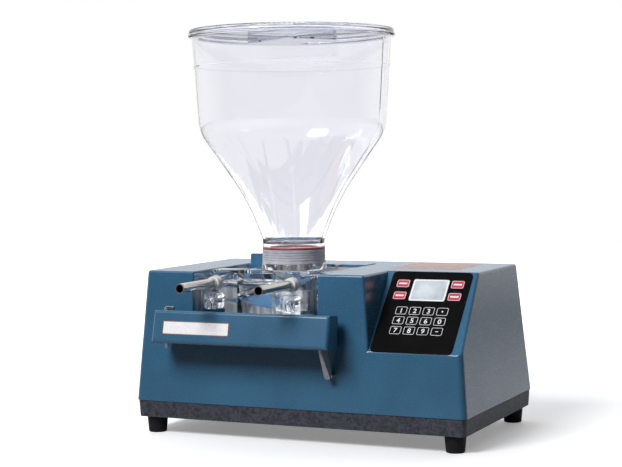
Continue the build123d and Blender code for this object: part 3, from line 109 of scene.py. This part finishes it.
# Noise: its detail, the part of its range that a tint spans, how many lines a band of tone and painted reflection
# is wide, and the stretch that makes the waves in clear plastic upright
CLOUD_DETAIL, GRAIN_DETAIL, BAND_DETAIL = 3.0, 2.0, 1.0
CLOUD_SPAN, BAND_SPAN = (0.32, 0.62), (0.35, 0.65)
BAND_LINES = 8
WAVE_STRETCH = (1.0, 1.0, 0.25)

# Surround: the way to its white side, the cosines between which it turns dim, and how dim
BACKDROP_WAY = (-0.414, 0.910, 0.0)
BACKDROP_EDGE = (-0.1, 0.4)
FRONT_GLOW = 0.04
WHITE = "#FFFFFF"

# Floor: its side, what the camera sees and what it throws back, the spot that the machine mirrors
# in white and where that white fades, and where and how much it fades into the surround
FLOOR_SIDE = 8
FLOOR_WHITE, FLOOR_BOUNCE = "#F6F6F8", "#6E6E70"
FLOOR_ROUGH = 0.6
MIRRORED_SPOT = (0.3, 0.9, 0.0)
MIRRORED_FADE = (0.9, 1.5)
GLOW_FADE, GLOW_RANGE = (0.45, 1.5), (0.25, 1.0)

# Main light: what it looks at, its turn and rise in degrees, its distance, side and watts
LIGHT_AIM = Vector((0, 0, 0.15))
LIGHT_TURN, LIGHT_RISE = 16.0, 42.0
LIGHT_REACH, LIGHT_SIDE, LIGHT_POWER = 3.2, 1.2, 100


def linear(code):
    """Linear RGBA of an sRGB hex colour."""
    parts = [int(code[i:i + 2], 16) / 255 for i in (1, 3, 5)]
    parts = [c / 12.92 if c <= 0.04045 else ((c + 0.055) / 1.055) ** 2.4 for c in parts]
    return (*parts, 1.0)


def add(tree, kind, inputs=None, **properties):
    """Adds one node. An input takes a value, or a link if it is given another node's output."""
    node = tree.nodes.new(kind)
    for name, value in properties.items():
        setattr(node, name, value)
    for name, value in (inputs or {}).items():
        if isinstance(value, bpy.types.NodeSocket):
            tree.links.new(value, node.inputs[name])
        else:
            node.inputs[name].default_value = value
    return node


def combine(tree, operation, *values, kind="ShaderNodeMath"):
    """Number that one maths node makes of these values."""
    return add(tree, kind, dict(enumerate(values)), operation=operation).outputs["Value"]


def remap(tree, value, span, result, curve="LINEAR"):
    """Value taken from one span to another, and held at its ends."""
    return add(tree, "ShaderNodeMapRange", {
        "Value": value, "From Min": span[0], "From Max": span[1],
        "To Min": result[0], "To Max": result[1],
    }, interpolation_type=curve).outputs["Result"]


def mix_colours(tree, factor, first, second):
    """Colour between two sRGB hex colours."""
    return add(tree, "ShaderNodeMix", {
        "Factor": factor, "A": linear(first), "B": linear(second),
    }, data_type="RGBA").outputs["Result"]


def object_place(tree, stretch=None):
    """Place on the object, stretched if a scale is given."""
    place = add(tree, "ShaderNodeTexCoord").outputs["Object"]
    if stretch:
        lay = add(tree, "ShaderNodeMapping", {"Vector": place, "Scale": stretch})
        place = lay.outputs["Vector"]
    return place


def noise(tree, place, size, detail, swirl=0.0):
    """Noise with forms of about this size in mm."""
    return add(tree, "ShaderNodeTexNoise", {
        "Vector": place, "Scale": 1 / (size * MM), "Detail": detail, "Distortion": swirl,
    }).outputs["Fac"]


def emboss(tree, shader, height, relief):
    """Bump on the shader's normal, with its depth in mm."""
    bump = add(tree, "ShaderNodeBump", {
        "Height": height, "Strength": 1.0, "Distance": relief * MM})
    tree.links.new(bump.outputs["Normal"], shader.inputs["Normal"])


def new_material(name, colour, **sockets):
    """Material with its Principled shader set to one colour and these socket values."""
    material = bpy.data.materials.new(name)
    material.use_nodes = True
    shader = material.node_tree.nodes["Principled BSDF"]
    shader.inputs["Base Color"].default_value = linear(colour)
    for socket, value in sockets.items():
        shader.inputs[socket.replace("_", " ")].default_value = value
    return material, material.node_tree, shader


def seen_by(tree, *kinds):
    """1 for rays of these kinds that no dull surface has scattered on their way, else 0."""
    path = add(tree, "ShaderNodeLightPath")
    seen, *others = (path.outputs[f"Is {kind} Ray"] for kind in kinds)
    for other in others:
        seen = combine(tree, "MAXIMUM", seen, other)
    unscattered = combine(tree, "LESS_THAN", path.outputs["Diffuse Depth"], 0.5)
    return combine(tree, "MULTIPLY", seen, unscattered)


def grained(name, colour, shade, mottle, grain, relief, rough, swirl=0.0, **sockets):
    """Moulded or cast surface: a mottled colour, and a grain that gives relief and roughness.

    Mottle, grain and relief are in mm, and rough is the range of roughness.
    """
    material, tree, shader = new_material(name, colour, **sockets)
    place = object_place(tree)
    clouds = noise(tree, place, mottle, CLOUD_DETAIL, swirl)
    grains = noise(tree, place, grain, GRAIN_DETAIL)
    tint = add(tree, "ShaderNodeValToRGB", {"Fac": clouds})
    for stop, code, position in zip(tint.color_ramp.elements, (shade, colour), CLOUD_SPAN):
        stop.color, stop.position = linear(code), position
    tree.links.new(tint.outputs["Color"], shader.inputs["Base Color"])
    tree.links.new(remap(tree, grains, (0.0, 1.0), rough), shader.inputs["Roughness"])
    emboss(tree, shader, grains, relief)
    return material


def tooled(name, colour, shade, stretch, pitch, relief, rough):
    """Metal with tool marks: fine lines along the axis whose stretch is small, and wider light and dark bands in
    its colour. On the ground steel these bands are a painted reflection.

    Pitch and relief are in mm, and rough is the range of roughness.
    """
    material, tree, shader = new_material(name, colour, Metallic=1.0)
    lay = object_place(tree, stretch)
    lines = noise(tree, lay, pitch, GRAIN_DETAIL)
    # Light and dark bands in the colour: tone on the plainer metals, a painted reflection on the ground steel
    tone_and_reflection_bands = remap(tree, noise(tree, lay, BAND_LINES * pitch, BAND_DETAIL), BAND_SPAN, (0.0, 1.0))
    tree.links.new(mix_colours(tree, tone_and_reflection_bands, shade, colour), shader.inputs["Base Color"])
    tree.links.new(remap(tree, lines, (0.0, 1.0), rough), shader.inputs["Roughness"])
    emboss(tree, shader, lines, relief)
    return material


def clear(name, colour, ior, rough, wave, relief):
    """Clear plastic with faint upright waves, in mm, from its making. Lamps shine through it."""
    material, tree, shader = new_material(
        name, colour, IOR=ior, Roughness=rough, Transmission_Weight=1.0)
    emboss(tree, shader, noise(tree, object_place(tree, WAVE_STRETCH), wave, BAND_DETAIL), relief)
    path = add(tree, "ShaderNodeLightPath")
    through = add(tree, "ShaderNodeBsdfTransparent", {"Color": linear(colour)})
    mixed = add(tree, "ShaderNodeMixShader", {
        0: path.outputs["Is Shadow Ray"], 1: shader.outputs["BSDF"], 2: through.outputs["BSDF"]})
    tree.links.new(mixed.outputs["Shader"], tree.nodes["Material Output"].inputs["Surface"])
    return material


# Moulded ABS, satin: even steel blue with a faint flow mottle and a fine spark texture
MOULDED_ABS = grained(
    "moulded_abs_blue", "#356687", "#305E7D", 60, 0.9, 0.012, (0.24, 0.30),
    Coat_Weight=0.20, Coat_Roughness=0.20)
# Structural foam: dark grey, with the swirls of its foamed skin
FOAM = grained(
    "structural_foam_dark", "#41444F", "#1B1B21", 6, 1.2, 0.08, (0.50, 0.70), swirl=1.2)
# Moulded rubber: black, dull, slightly dusty
RUBBER = grained(
    "moulded_rubber_black", "#141418", "#0A0A0C", 8, 0.8, 0.03, (0.60, 0.80),
    Specular_IOR_Level=0.25)
# Silicone ring: rust red, smooth with a soft shine
SILICONE = grained(
    "silicone_rust_red", "#8E4136", "#7A352C", 10, 1.0, 0.01, (0.30, 0.40))
# Nylon: grey, moulded, soft shine
GREY_NYLON = grained(
    "moulded_nylon_grey", "#B6B6BE", "#A4A4AD", 12, 0.8, 0.01, (0.30, 0.42))
# Nylon: natural white, moulded, a little translucent
WHITE_NYLON = grained(
    "moulded_nylon_white", "#EDEDF0", "#DCDCE2", 6, 0.8, 0.01, (0.25, 0.35),
    Subsurface_Weight=0.2, Subsurface_Scale=0.002)
# Acetal: machined white gears
ACETAL = grained(
    "machined_acetal_white", "#E8E6DF", "#DAD8D0", 6, 0.6, 0.01, (0.25, 0.35))
# Polyester overlay: black printed film with a satin skin
OVERLAY_FILM = grained(
    "polyester_film_black", "#050506", "#030304", 20, 0.5, 0.004, (0.36, 0.44),
    Specular_IOR_Level=0.08)
# Screen ink: white lines and digits, and the bar's pale plate
WHITE_INK = grained(
    "screen_ink_white", "#F4F4F6", "#E9E9EC", 3, 0.4, 0.003, (0.35, 0.45))
# Screen ink: red, a little pink where the white under it shows through
RED_INK = grained(
    "screen_ink_red", "#C8405A", "#B63048", 3, 0.4, 0.003, (0.35, 0.45))
# Screen ink: rust brown line round the bar's plate
BROWN_INK = grained(
    "screen_ink_brown", "#8A5A48", "#7A4C3C", 3, 0.4, 0.003, (0.35, 0.45))
# Vinyl film: pale salmon, matt
SALMON_FILM = grained(
    "vinyl_film_salmon", "#B4928C", "#A4827C", 9, 0.6, 0.004, (0.40, 0.50))
# Liquid crystal cell: pale grey, with a glossy front
CELL = grained(
    "liquid_crystal_cell", "#DCE5E9", "#B6C2CA", 26, 1.0, 0.0, (0.20, 0.26),
    Coat_Weight=1.0)
# Black ABS: switch and inlet
BLACK_ABS = grained(
    "moulded_abs_black", "#151517", "#0F0F11", 15, 0.6, 0.02, (0.40, 0.50))
# Solder mask: green, glossy over the copper
SOLDER_MASK = grained(
    "solder_mask_green", "#124A26", "#0D3A1D", 4, 0.8, 0.02, (0.25, 0.40))
# Painted steel: motor and gearbox in dark grey enamel
ENAMEL = grained(
    "enamel_dark_grey", "#3E4044", "#35373B", 20, 1.5, 0.02, (0.30, 0.40))
# Polished stainless tube and pins: bright, with faint draw lines along Y
POLISHED_STEEL = tooled(
    "polished_stainless", "#D2CFC8", "#BDB9B1", (1, 0.05, 1), 0.6, 0.004, (0.10, 0.20))
# Ground stainless: pump block, with upright grinding lines, and light and dark bands in its colour that are a
# painted reflection
GROUND_STEEL = tooled(
    "ground_stainless", "#E6E3DC", "#86878B", (1, 1, 0.05), 0.8, 0.010, (0.36, 0.48))
# Zinc plated steel: bracket, supply and screws, with a cloudy skin
ZINC_STEEL = tooled(
    "zinc_plated_steel", "#B9BCC0", "#A3A6AB", (1, 1, 1), 2.0, 0.010, (0.28, 0.42))
# Acrylic: cut and polished block, clear with dark and bright edges
ACRYLIC = clear("polished_acrylic", "#EEF1F6", 1.49, 0.02, 25, 0.02)
# Polycarbonate: blown hopper, clear with a lilac grey cast and upright flow waves
POLYCARBONATE = clear("blown_polycarbonate", "#F6F6FA", 1.58, 0.03, 22, 0.10)
# Moulded lid: clear with a blue grey cast that gathers in its rim
LID_CLEAR = clear("moulded_copolyester", "#E7E9EF", 1.57, 0.03, 22, 0.06)

# Material of each slot, and of the nodes that differ from their slot
FINISHES = {
    "housing_blue": MOULDED_ABS,
    "tray_dark": FOAM,
    "foot_rubber": RUBBER,
    "fastener_steel": ZINC_STEEL,
    "pump_steel": GROUND_STEEL,
    "rotor_acetal": ACETAL,
    "seal_rubber": SILICONE,
    "clear_acrylic": ACRYLIC,
    "collar_grey": GREY_NYLON,
    "collar_white": WHITE_NYLON,
    "panel_black": OVERLAY_FILM,
    "soft_key_red": RED_INK,
    "display_grey": CELL,
    "board_green": SOLDER_MASK,
    "bracket_steel": ZINC_STEEL,
    "motor_metal": ENAMEL,
    "black_plastic": BLACK_ABS,
}
OWN_FINISHES = {
    "hopper": POLYCARBONATE,
    "hopper_lid": LID_CLEAR,
    "left_nozzle": POLISHED_STEEL,
    "right_nozzle": POLISHED_STEEL,
    "hinge_pin": POLISHED_STEEL,
    "trigger_plunger": POLISHED_STEEL,
    "display_lens": CELL,
    "trigger_arm": GREY_NYLON,
}


def coat(piece, material):
    """Gives a piece one material."""
    piece.data.materials.clear()
    piece.data.materials.append(material)


def dress_nodes():
    """Gives every CAD node the material of its slot, or its own."""
    for part in frame["record"]["subparts"]:
        slot_finish = FINISHES[part["material_slot"]]
        coat(NODES[part["node"]], OWN_FINISHES.get(part["node"], slot_finish))


def deselect():
    """Object mode, with nothing selected."""
    if bpy.context.object and bpy.context.object.mode != "OBJECT":
        bpy.ops.object.mode_set(mode="OBJECT")
    bpy.ops.object.select_all(action="DESELECT")


def edit(piece):
    """Edit mode on one piece, with its whole mesh selected."""
    bpy.context.view_layer.objects.active = piece
    bpy.ops.object.mode_set(mode="EDIT")
    bpy.ops.mesh.select_all(action="SELECT")


def close_shell(piece):
    """Merges doubles and points every face outwards."""
    edit(piece)
    bpy.ops.mesh.remove_doubles(threshold=MERGE * MM)
    bpy.ops.mesh.normals_make_consistent(inside=False)
    bpy.ops.object.mode_set(mode="OBJECT")


def thicken(piece, thickness):
    """Turns the selected flat mesh into a closed plate, with its thickness in mm."""
    bpy.ops.mesh.extrude_region_move(
        TRANSFORM_OT_translate={"value": (0, 0, thickness * MM)})
    bpy.ops.object.mode_set(mode="OBJECT")
    close_shell(piece)


def swell(piece, rise):
    """Moves a selected piece's skin outwards by a rise in mm, and smooths its soft edges."""
    edit(piece)
    bpy.ops.transform.shrink_fatten(value=rise * MM)
    bpy.ops.object.mode_set(mode="OBJECT")
    bpy.ops.object.shade_smooth_by_angle(angle=SOFT_EDGE)


def flat_plate(name, width, height, corner, thickness, line=0.0):
    """Plate with rounded corners round the origin, in mm. With a line, only its border stays."""
    deselect()
    bpy.ops.mesh.primitive_plane_add(size=1)
    piece = bpy.context.object
    piece.name = name
    edit(piece)
    bpy.ops.transform.resize(value=(width * MM, height * MM, 1))
    bpy.ops.mesh.bevel(offset=corner * MM, segments=CORNER_STEPS, affect="VERTICES")
    if line:
        bpy.ops.mesh.inset(thickness=line * MM)
        bpy.ops.mesh.delete(type="FACE")
        bpy.ops.mesh.select_all(action="SELECT")
    thicken(piece, thickness)
    return piece


def disc(name, radius, thickness):
    """Small round plate, sizes in mm."""
    deselect()
    bpy.ops.mesh.primitive_circle_add(vertices=DISC_STEPS, radius=radius * MM, fill_type="NGON")
    piece = bpy.context.object
    piece.name = name
    edit(piece)
    thicken(piece, thickness)
    return piece


def lettering(name, sign, height):
    """Raised print of one generic sign, centred on the origin, as a mesh."""
    deselect()
    bpy.ops.object.text_add()
    piece = bpy.context.object
    piece.name = name
    text = piece.data
    text.body, text.size = sign, height / CAPITAL_SHARE * MM
    text.offset = DIGIT_WEIGHT * MM
    text.extrude = INK / 2 * MM
    text.resolution_u = LETTER_STEPS
    bpy.ops.object.convert(target="MESH")
    piece = bpy.context.object
    xs = [v.co.x for v in piece.data.vertices]
    ys = [v.co.y for v in piece.data.vertices]
    centre = Vector((-(min(xs) + max(xs)) / 2, -(min(ys) + max(ys)) / 2, INK / 2 * MM))
    piece.data.transform(Matrix.Translation(centre))
    close_shell(piece)
    return piece


def duplicate(piece, name):
    """Copy of a finished piece with its own mesh."""
    copy = piece.copy()
    copy.data = piece.data.copy()
    copy.name = name
    bpy.context.scene.collection.objects.link(copy)
    return copy


def own_copy(node, name):
    """Copy of a CAD node's mesh with its doubles merged, selected, to be shaped."""
    piece = duplicate(NODES[node], name)
    deselect()
    piece.select_set(True)
    close_shell(piece)
    return piece


def settle(piece, body, material, place=None):
    """Puts a place into the mesh, and gives the piece its material and body."""
    if place:
        piece.data.transform(place)
    coat(piece, material)
    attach(piece, body)


def facing(out, up, point):
    """Place of a flat piece whose top looks along out, with its own Y along up."""
    across = up.cross(out)
    turned = Matrix((across, up, out)).transposed().to_4x4()
    return Matrix.Translation(point) @ turned


def on_slope(node):
    """Place at the middle of a node of the control field, on its outermost face."""
    low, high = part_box(node)
    centre = (low + high) / 2
    face = max(v.co.dot(FIELD_OUT) for v in NODES[node].data.vertices)
    point = centre + FIELD_OUT * (face - centre.dot(FIELD_OUT))
    return facing(FIELD_OUT, FIELD_UP, point)


def size_on_slope(node):
    """Width and height of a node of the control field, in mm."""
    low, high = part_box(node)
    along = [v.co.dot(FIELD_UP) for v in NODES[node].data.vertices]
    return (high.x - low.x) / MM, (max(along) - min(along)) / MM


def key_outline(name, node):
    """Outline of a key, a little inside its edge."""
    width, height = (size - 2 * KEY_LINE_INSET for size in size_on_slope(node))
    return flat_plate(name, width, height, KEY_CORNER, INK, KEY_LINE)


def widest_face(node, towards):
    """Outward direction of a node's widest face that looks mostly one way, and a point on it."""
    faces = [p for p in NODES[node].data.polygons if p.normal.dot(towards) > SAME_WAY]
    face = max(faces, key=lambda p: p.area)
    return face.normal.copy(), face.center.copy()


def part_clear_pieces():
    """Copies of the clear nodes, a hair smaller, so that no face of theirs lies in a metal one."""
    bodies = frame["record"]["behaviour"]["bodies"]
    for node in CLEAR_PIECES:
        piece = own_copy(node, f"{node}_clear")
        swell(piece, -CLEAR_GAP)
        body = next(name for name, nodes in bodies.items() if node in nodes)
        settle(piece, body, ACRYLIC)
        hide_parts(node)


def level_ring():
    """Moulded line round the hopper: a closed slice of its wall, a little thicker."""
    piece = own_copy("hopper", "level_ring")
    for height, above in zip(LEVEL_RING, (False, True)):
        edit(piece)
        bpy.ops.mesh.bisect(plane_co=(0, 0, height * MM), plane_no=(0, 0, 1), use_fill=True,
                            clear_inner=not above, clear_outer=above)
        bpy.ops.object.mode_set(mode="OBJECT")
    swell(piece, LEVEL_RING_RISE)
    settle(piece, "hopper", POLYCARBONATE)


def plunger_coil():
    """The plunger's spring, which rides on its flange."""
    piece = own_copy("plunger_spring", "plunger_coil")
    bpy.ops.object.shade_smooth_by_angle(angle=COIL_EDGE)
    settle(piece, "plunger", ZINC_STEEL)
    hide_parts("plunger_spring")
    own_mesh(piece)


def print_keys():
    """White outline and sign on every numeric key."""
    signs = {
        "one": "1", "two": "2", "three": "3", "four": "4", "five": "5", "six": "6",
        "seven": "7", "eight": "8", "nine": "9", "zero": "0", "dot": None, "dash": None,
    }
    outline = key_outline("key_outline", "key_one")
    for name, sign in signs.items():
        node = f"key_{name}"
        border = duplicate(outline, f"key_outline_{name}")
        if sign:
            mark = lettering(f"key_sign_{name}", sign, DIGIT_HEIGHT)
        elif name == "dot":
            mark = disc("key_sign_dot", DOT_RADIUS, INK)
        else:
            mark = flat_plate("key_sign_dash", *DASH_SIZE, DASH_CORNER, INK)
        for piece in (border, mark):
            settle(piece, node, WHITE_INK, on_slope(node))
    bpy.data.objects.remove(outline)


def print_soft_keys():
    """White outline and a plain white bar on every red key beside the display."""
    outline = key_outline("soft_key_outline", "soft_key_left_upper")
    bar = flat_plate("soft_key_bar", *SOFT_KEY_BAR, SOFT_KEY_BAR_CORNER, INK)
    for node in (f"soft_key_{side}_{level}" for side in ("left", "right")
                 for level in ("upper", "lower")):
        for master, name in ((outline, "outline"), (bar, "bar")):
            piece = duplicate(master, f"{node}_{name}")
            settle(piece, node, WHITE_INK, on_slope(node))
    bpy.data.objects.remove(outline)
    bpy.data.objects.remove(bar)


def frame_window():
    """White printed border round the display's lens."""
    width, height = size_on_slope("display_lens")
    border = flat_plate("window_border", width, height, WINDOW_CORNER, INK, WINDOW_LINE)
    settle(border, "base", WHITE_INK, on_slope("display_lens"))


def bar_plate():
    """Blank pale plate with a thin border on the trigger bar's face."""
    out, point = widest_face("trigger_bar", -BACK)
    up = out.cross(RIGHT).normalized()
    up = up if up.z > 0 else -up
    low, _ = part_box("trigger_bar")
    x, z = low.x + BAR_PLATE_FROM_LEFT * MM, low.z + BAR_PLATE_ABOVE * MM
    y = (out.dot(point) - out.x * x - out.z * z) / out.y
    place = facing(out, up, Vector((x, y, z)))
    plate = flat_plate("bar_plate", *BAR_PLATE, BAR_PLATE_CORNER, FILM)
    settle(plate, "trigger", WHITE_INK, place)
    rim = flat_plate("bar_plate_border", *BAR_PLATE, BAR_PLATE_CORNER, INK, BAR_PLATE_LINE)
    on_plate = place @ Matrix.Translation((0, 0, FILM * MM))
    settle(rim, "trigger", BROWN_INK, on_plate)


def top_sheet():
    """Blank film on the housing's top, beside the slope."""
    _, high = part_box("housing")
    x, y = (centre * MM for centre in TOP_SHEET_CENTRE)
    sheet = flat_plate("top_sheet", *TOP_SHEET, TOP_SHEET_CORNER, FILM)
    settle(sheet, "base", SALMON_FILM, facing(UP, BACK, Vector((x, y, high.z))))


def switch_marks():
    """Plain on and off signs on the rocker."""
    out, _ = widest_face("switch_rocker", BACK)
    up = Vector((0, -out.z, out.y)).normalized()
    low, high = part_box("switch_rocker")
    middle = (low + high) / 2
    faces = [p for p in NODES["switch_rocker"].data.polygons if p.normal.y > ROCKER_SAME_WAY]
    for sign, share in (("I", ROCKER_SIGN_SHARE), ("O", -ROCKER_SIGN_SHARE)):
        spot = middle + up * (high.z - low.z) * share
        face = min(faces, key=lambda p: (p.center - spot).length)
        spot = spot + face.normal * (face.center - spot).dot(face.normal)
        mark_up = Vector((0, -face.normal.z, face.normal.y)).normalized()
        mark = lettering(f"rocker_sign_{sign}", sign, ROCKER_SIGN_HEIGHT)
        place = facing(face.normal.copy(), mark_up, spot)
        settle(mark, "rocker", WHITE_INK, place)


def floor_paint():
    """White floor that turns into the surround away from the machine. Its bounces are greyer."""
    material, tree, shader = new_material("painted_floor", FLOOR_WHITE, Roughness=FLOOR_ROUGH)
    seen = seen_by(tree, "Camera", "Transmission")
    place = object_place(tree)
    reach = combine(tree, "LENGTH", place, kind="ShaderNodeVectorMath")
    away = combine(tree, "DISTANCE", place, MIRRORED_SPOT, kind="ShaderNodeVectorMath")
    near = remap(tree, away, MIRRORED_FADE, (1.0, 0.0))
    mirrored = combine(tree, "MULTIPLY", near, seen_by(tree, "Glossy"))
    white = combine(tree, "MAXIMUM", seen, mirrored)
    tint = mix_colours(tree, white, FLOOR_BOUNCE, FLOOR_WHITE)
    fade = remap(tree, reach, GLOW_FADE, GLOW_RANGE, curve="SMOOTHSTEP")
    tree.links.new(tint, shader.inputs["Base Color"])
    tree.links.new(combine(tree, "MULTIPLY", fade, seen), shader.inputs["Emission Strength"])
    shader.inputs["Emission Color"].default_value = linear(WHITE)
    return material


def lay_floor():
    """Plain floor."""
    deselect()
    bpy.ops.mesh.primitive_plane_add(size=FLOOR_SIDE)
    floor = bpy.context.object
    floor.name = "floor"
    coat(floor, floor_paint())


def surround():
    """White for the camera. For everything else white behind the machine and dim before it."""
    world = bpy.data.worlds.new("surround")
    world.use_nodes = True
    tree = world.node_tree
    way = add(tree, "ShaderNodeTexCoord").outputs["Generated"]
    side = combine(tree, "DOT_PRODUCT", way, BACKDROP_WAY, kind="ShaderNodeVectorMath")
    glow = remap(tree, side, BACKDROP_EDGE, (FRONT_GLOW, 1.0))
    strength = combine(tree, "MAXIMUM", glow, seen_by(tree, "Camera", "Transmission"))
    background = tree.nodes["Background"]
    background.inputs["Color"].default_value = linear(WHITE)
    tree.links.new(strength, background.inputs["Strength"])
    bpy.context.scene.world = world


def main_light():
    """One large square light from the upper left of the camera."""
    turn, rise = math.radians(LIGHT_TURN), math.radians(LIGHT_RISE)
    flat = math.cos(rise)
    way = Vector((-math.sin(turn) * flat, -math.cos(turn) * flat, math.sin(rise)))
    deselect()
    bpy.ops.object.light_add(type="AREA", location=LIGHT_AIM + way * LIGHT_REACH)
    lamp = bpy.context.object
    lamp.name = "main_light"
    lamp.data.shape, lamp.data.energy = "SQUARE", LIGHT_POWER
    lamp.data.size = LIGHT_SIDE
    lamp.rotation_euler = (-way).to_track_quat("-Z", "Y").to_euler()


def set_camera():
    """The photo's camera."""
    yaw, pitch, roll = (math.radians(a) for a in (CAMERA_YAW, CAMERA_PITCH, CAMERA_ROLL))
    flat = math.cos(pitch)
    ahead = Vector((-math.sin(yaw) * flat, math.cos(yaw) * flat, -math.sin(pitch)))
    across = Vector((math.cos(yaw), math.sin(yaw), 0))
    above = across.cross(ahead)
    right = across * math.cos(roll) + above * math.sin(roll)
    up = above * math.cos(roll) - across * math.sin(roll)
    turned = Matrix((right, up, -ahead)).transposed().to_4x4()
    camera = bpy.data.objects.new("camera", bpy.data.cameras.new("camera"))
    camera.data.lens, camera.data.sensor_width = CAMERA_LENS, CAMERA_SENSOR
    camera.matrix_world = Matrix.Translation(CAMERA_PLACE) @ turned
    bpy.context.scene.collection.objects.link(camera)
    bpy.context.scene.camera = camera


dress_nodes()
part_clear_pieces()
level_ring()
plunger_coil()
print_keys()
print_soft_keys()
frame_window()
bar_plate()
top_sheet()
switch_marks()
lay_floor()
surround()
main_light()
set_camera()
bpy.context.scene.view_settings.view_transform = "Standard"
deselect()
